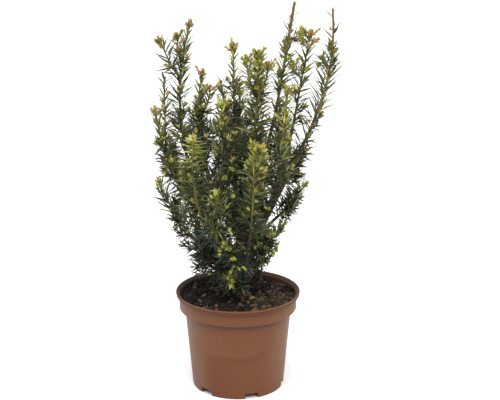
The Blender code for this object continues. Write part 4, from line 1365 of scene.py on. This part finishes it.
    def stem(self, shoot: Shoot) -> None:
        """Adds a shoot's own wood: brown at its foot, then olive, and tan where it is bare at the top.

        Args:
            shoot: The shoot.
        """
        x, y, z = TWIG_TUBE.points.T
        start = shoot.first if shoot.kind is Kind.LEADER else 0.0
        point, tangent, side, normal, radius = shoot.line.at(start + (1.0 - start) * x)
        if shoot.kind is Kind.LEADER:
            slimmer = np.interp(x, (0.0, 0.2), (1.0, 0.72))
            radius = np.maximum(radius * slimmer + 0.0002, shoot.habit.stout)
        placed = point + radius[:, None] * (side * y[:, None] + normal * z[:, None])
        middle = TWIG_TUBE.middles[:, 0]
        slots = np.where(middle < (0.22 if shoot.kind is Kind.LEADER else 0.1), 0, 0 if shoot.habit.brown else 1)
        if shoot.high is YOUNG:
            slots = np.where(middle > (0.3 if shoot.habit.shows else 0.5), 3, slots)
        if shoot.top in (BARE, TAN):
            slots = np.where(middle > (0.78 if shoot.top is BARE else 0.9), 2, slots)
        self.stems.add(TWIG_TUBE, placed[None], slots[None])

    def tuft(self, root: np.ndarray, way: np.ndarray, shade: Shade, size: float, seed: int, gold: float) -> None:
        """Adds a tuft of short new needles round a bud.

        Args:
            root: Its foot.
            way: The way it points, one long.
            shade: Its colour.
            size: 1 for a full tuft.
            seed: The tuft's seed.
            gold: The further share of gold needles in it.
        """
        chance = np.random.default_rng(seed)
        count = max(4, round(self.tuft_needles * min(size, 1.2)))
        order = np.arange(count) / count
        side = unit(np.cross(way, np.array((0.31, 0.95, 0.05))))
        normal = np.cross(way, side)
        around = chance.uniform(0, 2 * math.pi) + GOLDEN_ANGLE * np.arange(count)
        out = np.cos(around)[:, None] * side + np.sin(around)[:, None] * normal
        lean = np.radians(36 - 28 * order + chance.normal(0, 5, count))
        ways = np.cos(lean)[:, None] * way + np.sin(lean)[:, None] * out
        upper = np.sin(lean)[:, None] * way - np.cos(lean)[:, None] * out
        length = size * self.tuft_length * (1.0 - 0.20 * order) * chance.uniform(0.85, 1.15, count)
        roots = root + way * (0.0025 * size * order)[:, None] + out * 0.0006
        odd = chance.random(count)
        golden = float(np.interp(root[2], (0.28, 0.50), (0.05, 0.40))) + gold * (shade is Shade.FRESH)
        tones = np.where(odd < golden, SHADES.index(Shade.GOLD), SHADES.index(shade))
        if shade is Shade.FRESH:
            tones = np.where(odd > 0.86, SHADES.index(YOUNG), tones)
        self.place_needles(self.fresh, YOUNG_NEEDLE, roots, ways, upper, length,
                           np.full(count, self.tuft_width * size**0.5), 0.0024, chance.normal(0.16, 0.05, count),
                           chance.normal(0, 0.04, count), tones)

    def bud(self, root: np.ndarray, way: np.ndarray, size: float) -> None:
        """Adds one pointed bud.

        Args:
            root: Its foot.
            way: The way it points, one long.
            size: Its half width, in metres.
        """
        side = unit(np.cross(way, np.array((0.31, 0.95, 0.05))))
        normal = np.cross(way, side)
        x, y, z = (BUD_BALL.points.T[i][:, None] for i in range(3))
        slim = 1.0 - 0.35 * x
        placed = root + way * (size * 1.9 * x + size) + size * slim * (side * y + normal * z)
        self.fresh.add(BUD_BALL, placed[None], np.full((1, len(BUD_BALL.sizes)), 2 * len(SHADES)))

    def end(self, shoot: Shoot) -> None:
        """Adds what a shoot ends in, and the new growth in the forks of its needles.

        Args:
            shoot: The shoot.
        """
        chance = np.random.default_rng(shoot.seed + 7)
        point, tangent, side, normal, radius = shoot.line.at(np.array([1.0]))
        tip, way = point[0], tangent[0]
        shade = {TUFT: Shade.FRESH, TAN: Shade.TAN, BARE: Shade.TAN, BUD: Shade.FRESH}[shoot.top]
        grown = {Kind.LEADER: 1.10, Kind.SIDE: 0.95, Kind.TWIG: 0.80, Kind.YOUNG: 0.95, Kind.CROWN: 0.7}[shoot.kind]
        if shoot.kind is Kind.CROWN:
            self.tuft(tip, way, shade, grown, shoot.seed + 11, shoot.golden)
            return
        grown *= float(np.interp(tip[2], (0.20, 0.28), (0.85, 1.0)))
        if shoot.top is TAN and shoot.kind is not Kind.LEADER:
            grown *= 0.85
        self.bud(tip, way, 0.0010 * grown)
        if shoot.top in (TUFT, TAN):
            self.tuft(tip, way, shade, grown, shoot.seed + 11, shoot.golden)
            self.ring(shoot, 1.0, 3 if shoot.kind is Kind.LEADER else 1, shade, 0.85 * grown)
        if shoot.kind is not Kind.LEADER:
            return
        if shoot.top is BARE:
            length = shoot.line.length()
            self.ring(shoot, 1.0 - 0.45 * self.bare / length, 2, Shade.TAN, 0.8)
            self.ring(shoot, 1.0 - 1.05 * self.bare / length, 3, Shade.FRESH, 1.0)
        length = shoot.line.length(shoot.first, 1.0)
        count = int(length / 0.022)
        share = 0.30 + 0.60 * (np.arange(count) + chance.uniform(0.2, 0.8, count)) / count
        for k, place in enumerate(shoot.first + (1.0 - shoot.first) * share):
            tone = Shade.TAN if shoot.top in (BARE, TAN) and share[k] > 0.72 else Shade.FRESH
            self.ring(shoot, float(place), 1, tone, chance.uniform(0.8, 1.25))

    def ring(self, shoot: Shoot, place: float, count: int, shade: Shade, size: float) -> None:
        """Adds tufts round a shoot, a little way out from its wood.

        Args:
            shoot: The shoot.
            place: The share of its line where they are.
            count: How many.
            shade: Their colour.
            size: Their size, 1 for full ones.
        """
        chance = np.random.default_rng(shoot.seed * 7 + int(place * 1000))
        length = shoot.line.length()
        around = chance.uniform(0, 2 * math.pi)
        for k in range(count):
            spot = place - chance.uniform(0.0005, 0.0055) * (count > 1) / length
            point, tangent, side, normal, radius = (v[0] for v in shoot.line.at(np.array([spot])))
            around += GOLDEN_ANGLE
            out = math.cos(around) * side + math.sin(around) * normal
            lean = math.radians(chance.uniform(30, 55))
            way = math.cos(lean) * tangent + math.sin(lean) * out
            self.bud(point + out * (radius + 0.0010), way, 0.0010 * size)
            self.tuft(point + out * (radius + 0.0012), way, shade, size * chance.uniform(0.85, 1.1),
                      shoot.seed * 50 + k + int(place * 997), shoot.golden)

    def build(self) -> list[bpy.types.Object]:
        """Grows this side and joins its pieces.

        Returns:
            The pieces.
        """
        for shoot in self.growth.shoots(self.region):
            self.clothe(shoot)
            self.stem(shoot)
            self.end(shoot)
        nodes = [n for n in frame["nodes"] if n.startswith("foliage_") and self.region.holds(n[len("foliage_"):])]
        return [
            settle(self.needles.build(False), nodes),
            settle(self.stems.build(True), nodes),
            settle(self.fresh.build(False), nodes),
        ]


@dataclass
class Wood:
    """The trunk and the bare limbs, with the relief of their bark."""

    growth: Growth
    trunk_relief: float = 0.0011
    limb_relief: float = 0.00030
    sunk: float = 0.0025  # how far the trunk's foot goes below the level of the soil

    def relief(self, around: float, along: float, radius: float) -> float:
        """How high the bark stands at one place, from -1 to 1.

        Args:
            around: Its angle round the wood.
            along: Its place along the wood, in metres.
            radius: The wood's radius there, in metres.

        Returns:
            The height.
        """
        girth = 260.0 * radius
        low = noise.noise(Vector((math.cos(around) * girth, math.sin(around) * girth, along * 55.0)))
        high = noise.noise(Vector((math.cos(around) * girth * 2.6, math.sin(around) * girth * 2.6, along * 190.0 + 9.0)))
        return 0.65 * (1.0 - 2.0 * abs(low)) + 0.35 * high

    def tube(self, heap: Heap, line: Line, first: float, last: float, sides: int, depth: float, swell: float) -> None:
        """Adds a stretch of wood with its bark.

        Args:
            heap: Where it goes.
            line: The wood's centre line.
            first: The share where it starts.
            last: The share where it ends.
            sides: How many faces it has round it.
            depth: How deep its relief is.
            swell: How much wider it is at its foot, as a share.
        """
        length = line.length(first, last)
        shape = tube_shape(sides, max(6, round(length / 0.0013)))
        x, y, z = shape.points.T
        point, tangent, side, normal, radius = line.at(first + (last - first) * x)
        radius = radius * (1.0 + swell * np.exp(-x * length / 0.005))
        around = np.arctan2(z, y)
        high = np.array([self.relief(a, s * length, r) for a, s, r in zip(around, x, radius)])
        radius = radius + depth * high * np.minimum(1.0, radius / 0.004)
        heap.add(shape, (point + radius[:, None] * (side * y[:, None] + normal * z[:, None]))[None],
                 np.zeros((1, len(shape.sizes)), int))

    def build(self) -> list[bpy.types.Object]:
        """Builds the trunk, and the limbs of each side as one piece.

        Returns:
            The pieces.
        """
        bark = BarkFinish("trunk_bark", (0.030, 0.022, 0.016), (0.120, 0.090, 0.062), 210.0)
        young = BarkFinish("limb_bark", (0.040, 0.028, 0.020), (0.125, 0.086, 0.056), 320.0)
        trunk = self.growth.lines["trunk"]
        heap = Heap("trunk_bark", (bark,))
        below = np.concatenate([trunk.points[:1] - (0.0, 0.0, self.sunk), trunk.points])
        whole = Line(below, np.concatenate([trunk.radii[:1] * 1.12, trunk.radii]), trunk.guide)
        self.tube(heap, whole, 0.0, 1.0, 64, self.trunk_relief, 0.0)
        pieces = [settle(heap.build(True), ["trunk"])]
        for region in Region:
            heap, nodes = Heap(f"limbs_{region.name.lower()}", (young,)), []
            for leader in (x for x in LEADERS if region.holds(x.name) and x.enter > 0.1):
                self.tube(heap, self.growth.lines[leader.name], 0.0, leader.enter + 0.02, 20, self.limb_relief, 0.35)
                nodes.append(f"limb_{leader.name}")
            pieces.append(settle(heap.build(True), nodes))
        return pieces


# ---------------------------------------------------------------------------------------------
# The pot and what fills it
# ---------------------------------------------------------------------------------------------


def rounded(profile: list[tuple[float, float, float]], steps: int = 4) -> list[tuple[float, float]]:
    """A profile with its corners rounded.

    Args:
        profile: The radius and height of each corner, and how far its rounding reaches.
        steps: How many stretches a rounding has.

    Returns:
        The points of the rounded profile.
    """
    out: list[tuple[float, float]] = []
    for index, (r, z, reach) in enumerate(profile):
        corner = Vector((r, z))
        if reach == 0.0 or index in (0, len(profile) - 1):
            out.append((r, z))
            continue
        before, after = (Vector(profile[i][:2]) - corner for i in (index - 1, index + 1))
        a = corner + before.normalized() * min(reach, before.length / 2)
        b = corner + after.normalized() * min(reach, after.length / 2)
        for step in range(steps + 1):
            t = step / steps
            out.append(tuple((1 - t) ** 2 * a + 2 * t * (1 - t) * corner + t * t * b))
    return out


def spun(bm: bmesh.types.BMesh, profile: list[tuple[float, float]], steps: int, start: float) -> None:
    """Turns a profile about the pot's axis.

    Args:
        bm: Where the turned shape goes.
        profile: The radius and height of each point.
        steps: How many faces the shape has round it.
        start: The angle at which it starts.
    """
    turn = Matrix.Rotation(start, 4, "Z")
    verts = [bm.verts.new(turn @ Vector((r, 0.0, z))) for r, z in profile]
    edges = [bm.edges.new(pair) for pair in zip(verts, verts[1:])]
    bmesh.ops.spin(bm, geom=verts + edges, cent=(0, 0, 0), axis=(0, 0, 1), angle=2 * math.pi, steps=steps,
                   use_merge=True)
    bmesh.ops.remove_doubles(bm, verts=bm.verts, dist=1e-6)
    bmesh.ops.recalc_face_normals(bm, faces=bm.faces)


@dataclass
class Pot:
    """The round nursery pot: a thin shell with a lip, a collar and a notched foot ring."""

    height: float = 0.1502
    wall: float = 0.0015
    lip_radius: float = 0.095
    lip_depth: float = 0.0026
    collar_radius: float = 0.0897
    collar_foot: float = 0.1238
    slope_foot: float = 0.1224  # the collar's underside slopes in to here
    body_top_radius: float = 0.0815
    body_foot_radius: float = 0.0705
    floor_underside: float = 0.0092
    floor_thickness: float = 0.0018
    foot_ring_width: float = 0.0032
    rib_depth: float = 0.0090  # ribs stand inwards at both ends of each notch
    rib_width: float = 0.0014
    notches: int = 6
    notch_height: float = 0.0085
    notch_steps: int = 7
    first_notch: float = math.radians(-72.5)
    steps: int = 150

    def body_radius(self, z: float) -> float:
        """The pot's outer radius at this height of its tapered body."""
        return self.body_foot_radius + (self.body_top_radius - self.body_foot_radius) * z / self.collar_foot

    def profile(self) -> list[tuple[float, float]]:
        """The shell's section, from the inside of its floor round to the underside.

        Returns:
            The radius and height of each point.
        """
        floor_top = self.floor_underside + self.floor_thickness
        top, lip_foot = self.height, self.height - self.lip_depth
        inner = self.collar_radius - self.wall
        ring_in = self.body_foot_radius - self.foot_ring_width
        notch = self.notch_height
        return rounded([
            (0.0, floor_top, 0.0),
            (self.body_radius(floor_top) - self.wall, floor_top, 0.003),
            (self.body_radius(self.slope_foot) - self.wall, self.slope_foot - 0.001, 0.002),
            (inner - 0.0005, self.collar_foot + 0.0025, 0.003),
            (inner, lip_foot - 0.0015, 0.0004),
            (self.collar_radius + 0.0014, top - 0.0008, 0.0012),
            (self.collar_radius + 0.0034, top, 0.0006),
            (self.lip_radius - 0.0006, top, 0.0012),
            (self.lip_radius, top - 0.0010, 0.0007),
            (self.lip_radius - 0.0002, lip_foot + 0.0003, 0.0005),
            (self.lip_radius - 0.0014, lip_foot - 0.0001, 0.0003),
            (self.lip_radius - 0.0015, lip_foot - 0.0012, 0.0003),
            (self.lip_radius - 0.0005, lip_foot - 0.0015, 0.0003),
            (self.lip_radius - 0.0007, lip_foot - 0.0030, 0.0005),
            (self.collar_radius + 0.0003, lip_foot - 0.0034, 0.0003),
            (self.collar_radius, lip_foot - 0.0050, 0.0008),
            (self.collar_radius + 0.0002, self.collar_foot + 0.0004, 0.0012),
            (self.body_radius(self.slope_foot) + 0.0008, self.slope_foot, 0.0012),
            (self.body_radius(self.slope_foot - 0.0022), self.slope_foot - 0.0022, 0.0008),
            (self.body_radius(0.060), 0.060, 0.0),
            (self.body_radius(notch), notch, 0.0),
            (self.body_foot_radius, 0.0, 0.0006),
            (ring_in, 0.0, 0.0006),
            (self.body_radius(notch) - self.foot_ring_width, notch, 0.0),
            (self.body_radius(self.floor_underside) - self.foot_ring_width, self.floor_underside, 0.0003),
            (0.0, self.floor_underside, 0.0),
        ])

    def cut_notches(self, bm: bmesh.types.BMesh) -> None:
        """Cuts the notches out of the foot ring, and closes their sides.

        Args:
            bm: The turned shell.
        """
        step = 2 * math.pi / self.steps
        half = self.notch_steps / 2 * step
        for index in range(self.notches):
            middle = self.first_notch + index * 2 * math.pi / self.notches
            gone = []
            for face in bm.faces:
                spot = face.calc_center_median()
                off = (math.atan2(spot.y, spot.x) - middle + math.pi) % (2 * math.pi) - math.pi
                if abs(off) < half and spot.z < self.notch_height and math.hypot(spot.x, spot.y) > 0.06:
                    gone.append(face)
            bmesh.ops.delete(bm, geom=gone, context="FACES")
            rim = [e for e in bm.edges if e.is_boundary]
            ends = [e for e in rim if abs(self.radius_of(e.verts[0]) - self.radius_of(e.verts[1])) > 0.0003
                    or max(v.co.z for v in e.verts) < 0.0008]
            bmesh.ops.bridge_loops(bm, edges=[e for e in rim if e not in ends])
            bmesh.ops.holes_fill(bm, edges=[e for e in bm.edges if e.is_boundary], sides=24)

    def add_ribs(self, bm: bmesh.types.BMesh) -> None:
        """Adds the short ribs that stiffen the ends of the notches.

        Args:
            bm: The notched shell.
        """
        half = self.notch_steps * math.pi / self.steps
        outer = self.body_foot_radius - self.foot_ring_width / 2
        tall = self.notch_height + 0.0012
        for index in range(self.notches):
            middle = self.first_notch + index * 2 * math.pi / self.notches
            for hand in (-1, 1):
                turn = Matrix.Rotation(middle + hand * half, 4, "Z")
                shift = Vector((outer - self.rib_depth / 2, hand * (self.rib_width / 2 + 0.0001), tall / 2))
                size = Matrix.Diagonal((self.rib_depth, self.rib_width, tall, 1.0))
                bmesh.ops.create_cube(bm, size=1.0, matrix=turn @ Matrix.Translation(shift) @ size)

    @staticmethod
    def radius_of(vert: bmesh.types.BMVert) -> float:
        """How far a point is from the pot's axis."""
        return math.hypot(vert.co.x, vert.co.y)

    def build(self) -> bpy.types.Object:
        """Builds the pot.

        Returns:
            The piece.
        """
        bm = bmesh.new()
        start = self.first_notch - self.notch_steps / 2 * 2 * math.pi / self.steps
        spun(bm, self.profile(), self.steps, start)
        self.cut_notches(bm)
        self.add_ribs(bm)
        bmesh.ops.recalc_face_normals(bm, faces=bm.faces)
        # Painted light in these colours: the darker reflection on the body, the left and right edges, and the shade
        # under the collar and the lip
        finish = PlasticFinish("terracotta_plastic", (0.126, 0.0415, 0.0122), (0.137, 0.0465, 0.0142),
                               (0.165, 0.088, 0.046), (0.111, 0.0325, 0.0088), (0.040, 0.0085, 0.003),
                               (0.132, 0.0570, 0.0215), (0.162, 0.0680, 0.0260), 0.42)
        stained = PlasticFinish("stained_plastic", (0.100, 0.050, 0.030), (0.120, 0.062, 0.038),
                                (0.050, 0.034, 0.024), (0.090, 0.050, 0.032), (0.060, 0.036, 0.024),
                                (0.026, 0.018, 0.012), (0.125, 0.062, 0.037), 0.60)
        for face in bm.faces:
            middle = face.calc_center_median()
            inward = face.normal.dot(Vector((middle.x, middle.y, 0.0)).normalized()) < -0.2
            face.material_index = 1 if inward and middle.z > self.floor_underside else 0
        obj = piece_from(bm, "pot_shell", finish.material())
        obj.data.materials.append(stained.material())
        obj.data.set_sharp_from_angle(angle=math.radians(50))
        return settle(obj, ["pot"])


@dataclass
class Compost:
    """The soil: an uneven surface with clods, bark chips and fibres lying on it."""

    radius: float = 0.0879
    level: float = SOIL_LEVEL
    relief: float = 0.0046
    clods: int = 1300
    chips: int = 36
    fibres: int = 46
    seed: int = 11

    def height(self, x: float, y: float) -> float:
        """The height of the soil's surface.

        Args:
            x: Across.
            y: Front to back.

        Returns:
            The height, in metres.
        """
        across = math.hypot(x, y) / self.radius
        low = noise.noise(Vector((x * 22.0, y * 22.0, 3.0)))
        fine = noise.noise(Vector((x * 90.0, y * 90.0, 7.0))) + 0.6 * noise.noise(Vector((x * 230.0, y * 230.0, 1.0)))
        mound = 0.0018 * (1.0 - across**2) + 0.0012 * x / self.radius
        edge = min(1.0, (1.0 - across) * 9.0)
        return self.level + mound * edge + self.relief * (0.30 * low + 0.50 * fine) * (0.4 + 0.6 * edge)

    def surface(self) -> bpy.types.Object:
        """The soil itself, down to the pot's floor.

        Returns:
            The piece.
        """
        bm = bmesh.new()
        rings = 58
        profile = [(self.radius * i / rings, self.level) for i in range(rings + 1)]
        profile += [(self.radius, 0.1295), (self.radius - 0.0025, 0.1270), (0.0795, 0.1268), (0.0692, 0.0113),
                    (0.0, 0.0113)]
        spun(bm, profile, 140, 0.0)
        for vert in bm.verts:
            if vert.co.z > self.level - 1e-5:
                vert.co.z = self.height(vert.co.x, vert.co.y)
        finish = CompostFinish("compost", (0.007, 0.005, 0.004), (0.022, 0.014, 0.010), (0.075, 0.048, 0.030))
        return settle(piece_from(bm, "soil_surface", finish.material()), ["soil"])

    def spots(self, count: int, reach: float, chance: random.Random) -> list[tuple[float, float]]:
        """Places spread evenly over the soil.

        Args:
            count: How many.
            reach: How near the wall they come, as a share of the soil's radius.
            chance: Where the numbers come from.

        Returns:
            The places.
        """
        found = []
        for _ in range(count):
            r, a = self.radius * reach * math.sqrt(chance.random()), chance.uniform(0, 2 * math.pi)
            found.append((r * math.cos(a), r * math.sin(a)))
        return found

    def crumbs(self) -> bpy.types.Object:
        """Clods and crumbs of peat.

        Returns:
            The piece.
        """
        heap = Heap("soil_crumbs", (
            PlainFinish("crumb_black", (0.008, 0.006, 0.0045), 0.95, 0.2),
            PlainFinish("crumb_dark", (0.022, 0.0145, 0.0095), 0.95, 0.2),
            PlainFinish("crumb_brown", (0.094, 0.062, 0.039), 0.95, 0.2),
            PlainFinish("crumb_tan", (0.300, 0.205, 0.115), 0.9, 0.2),
        ))
        chance = random.Random(self.seed)
        shape = ball_shape(2)
        for x, y in self.spots(self.clods, 0.965, chance):
            size = 0.0007 + 0.0036 * chance.random() ** 4
            turn = Matrix.Rotation(chance.uniform(0, 6.3), 3, Vector((chance.random(), chance.random(), 0.3)))
            lump = Matrix.Diagonal((size * chance.uniform(0.8, 1.5), size, size * chance.uniform(0.6, 1.0)))
            shift = Vector((chance.uniform(0, 90), 0.0, 0.0))
            spot = Vector((x, y, self.height(x, y) + size * 0.2))
            points = [spot + turn @ (lump @ (Vector(p) * (1.0 + 0.75 * noise.noise(Vector(p) * 2.3 + shift))))
                      for p in shape.points]
            # Painted light: more brown crumbs and fewer black ones towards the right, where the light falls
            lit_right = min(1.0, max(0.0, 0.35 + x / 0.10))
            kind = chance.choices(range(4), (0.60 - 0.35 * lit_right, 0.36, 0.03 + 0.35 * lit_right, 0.012))[0]
            heap.add(shape, np.array(points)[None], np.full((1, len(shape.sizes)), kind))
        return settle(heap.build(False), ["soil"])

    def litter(self) -> bpy.types.Object:
        """Chips of bark and wood lying on the soil.

        Returns:
            The piece.
        """
        heap = Heap("soil_chips", (
            PlainFinish("chip_tan", (0.360, 0.240, 0.130), 0.8, 0.3),
            PlainFinish("chip_brown", (0.150, 0.085, 0.048), 0.85, 0.3),
            PlainFinish("chip_grey", (0.200, 0.160, 0.120), 0.85, 0.3),
        ))
        chance = random.Random(self.seed + 1)
        bm = bmesh.new()
        bmesh.ops.create_cube(bm, size=1.0)
        bmesh.ops.subdivide_edges(bm, edges=bm.edges, cuts=1, use_grid_fill=True)
        shape = Shape.of(bm)
        for x, y in self.spots(self.chips, 0.93, chance):
            long, wide = chance.uniform(0.0030, 0.0090), chance.uniform(0.0015, 0.0034)
            turn = Matrix.Rotation(chance.uniform(0, 6.3), 3, "Z") @ Matrix.Rotation(chance.uniform(-0.4, 0.4), 3, "X")
            lump = Matrix.Diagonal((long, wide, 0.0011))
            shift = Vector((chance.uniform(0, 90), 0.0, 0.0))
            spot = Vector((x, y, self.height(x, y) + 0.0010))
            points = [spot + turn @ (lump @ (Vector(p) * (1.0 + 0.5 * noise.noise(Vector(p) * 1.3 + shift))))
                      for p in shape.points]
            kind = chance.choices(range(3), (0.30, 0.50, 0.20))[0]
            heap.add(shape, np.array(points)[None], np.full((1, len(shape.sizes)), kind))
        return settle(heap.build(False), ["soil"])

    def threads(self) -> bpy.types.Object:
        """Fibres lying on the soil.

        Returns:
            The piece.
        """
        heap = Heap("soil_fibres", (
            PlainFinish("fibre_brown", (0.120, 0.070, 0.038), 0.85, 0.2),
            PlainFinish("fibre_tan", (0.200, 0.140, 0.085), 0.8, 0.2),
        ))
        chance = random.Random(self.seed + 2)
        tube = tube_shape(5, 8)
        x, y, z = tube.points.T
        for px, py in self.spots(self.fibres, 0.90, chance):
            turn, bend = chance.uniform(0, 6.3), chance.uniform(-0.5, 0.5)
            length = chance.uniform(0.006, 0.018)
            ahead = np.linspace(-0.5, 0.5, 9) * length
            way = np.array((math.cos(turn), math.sin(turn)))
            plan = np.array((px, py)) + ahead[:, None] * way + (ahead**2 / length * bend)[:, None] * way[::-1] * (-1, 1)
            heights = [self.height(*spot) + 0.0007 for spot in plan]
            line = Line(np.column_stack([plan, heights]), np.full(9, chance.uniform(0.00018, 0.0004)), UP)
            point, tangent, side, normal, radius = line.at(x)
            placed = point + radius[:, None] * (side * y[:, None] + normal * z[:, None])
            heap.add(tube, placed[None], np.full((1, len(tube.sizes)), int(chance.random() < 0.35)))
        return settle(heap.build(True), ["soil"])

    def build(self) -> list[bpy.types.Object]:
        """Builds the soil and what lies on it.

        Returns:
            The pieces.
        """
        return [self.surface(), self.crumbs(), self.litter(), self.threads()]


# ---------------------------------------------------------------------------------------------
# The studio
# ---------------------------------------------------------------------------------------------


@dataclass(frozen=True)
class SoftBox:
    """One soft studio light."""

    name: str
    place: tuple[float, float, float]
    aim: tuple[float, float, float]
    size: float
    watts: float


@dataclass
class Studio:
    """A plain pale floor, plain soft light and the camera at the photograph's angle."""

    floor_size: float = 60.0
    eye: tuple[float, float, float] = (0.0033, -1.5901, 0.736)
    down: float = 15.63  # degrees
    lens: float = 78.98
    sky: float = 0.72
    sun: float = 3.4
    sun_turn: tuple[float, float, float] = (math.radians(18.0), math.radians(-6.0), 0.0)
    sun_size: float = math.radians(75.0)
    lights: tuple[SoftBox, ...] = (
        SoftBox("key", (0.45, -1.35, 1.9), (0.0, 0.0, 0.30), 0.9, 12.0),
    )

    def floor(self) -> bpy.types.Object:
        """The floor.

        Returns:
            The object.
        """
        bm = bmesh.new()
        bmesh.ops.create_grid(bm, x_segments=1, y_segments=1, size=self.floor_size / 2)
        mesh = bpy.data.meshes.new("floor")
        bm.to_mesh(mesh)
        bm.free()
        mesh.materials.append(StudioFinish("floor_paint", (0.86, 0.86, 0.86)).material())
        obj = bpy.data.objects.new("floor", mesh)
        bpy.context.scene.collection.objects.link(obj)
        return obj

    def light(self) -> None:
        """The sky and the soft lights."""
        world = bpy.data.worlds.new("studio")
        world.use_nodes = True
        world.node_tree.nodes["Background"].inputs["Color"].default_value = (1.0, 1.0, 1.0, 1.0)
        world.node_tree.nodes["Background"].inputs["Strength"].default_value = self.sky
        bpy.context.scene.world = world
        high = bpy.data.lights.new("high", "SUN")
        high.energy = self.sun
        high.angle = self.sun_size
        lamp = bpy.data.objects.new("high", high)
        lamp.rotation_euler = self.sun_turn
        bpy.context.scene.collection.objects.link(lamp)
        for box in self.lights:
            data = bpy.data.lights.new(box.name, "AREA")
            data.size = box.size
            data.energy = box.watts
            lamp = bpy.data.objects.new(box.name, data)
            lamp.location = box.place
            lamp.rotation_euler = (Vector(box.aim) - Vector(box.place)).to_track_quat("-Z", "Y").to_euler()
            bpy.context.scene.collection.objects.link(lamp)

    def camera(self) -> None:
        """The camera, at the photograph's viewing angle."""
        data = bpy.data.cameras.new("camera")
        data.lens = self.lens
        data.sensor_width = 36.0
        data.clip_end = 100.0
        camera = bpy.data.objects.new("camera", data)
        camera.location = self.eye
        camera.rotation_euler = (math.radians(90.0 - self.down), 0.0, 0.0)
        bpy.context.scene.collection.objects.link(camera)
        bpy.context.scene.camera = camera
        bpy.context.scene.view_settings.view_transform = "Standard"

    def build(self) -> None:
        """Sets up the studio."""
        self.floor()
        self.light()
        self.camera()


def main() -> None:
    """Builds the pot, the soil, the wood and the foliage, and sets up the studio."""
    logging.basicConfig(level=logging.INFO, format="%(message)s")
    Studio().build()
    Pot().build()
    Compost().build()
    growth = Growth()
    Wood(growth).build()
    for region in Region:
        Foliage(region, growth).build()


if __name__ == "__main__":
    main()
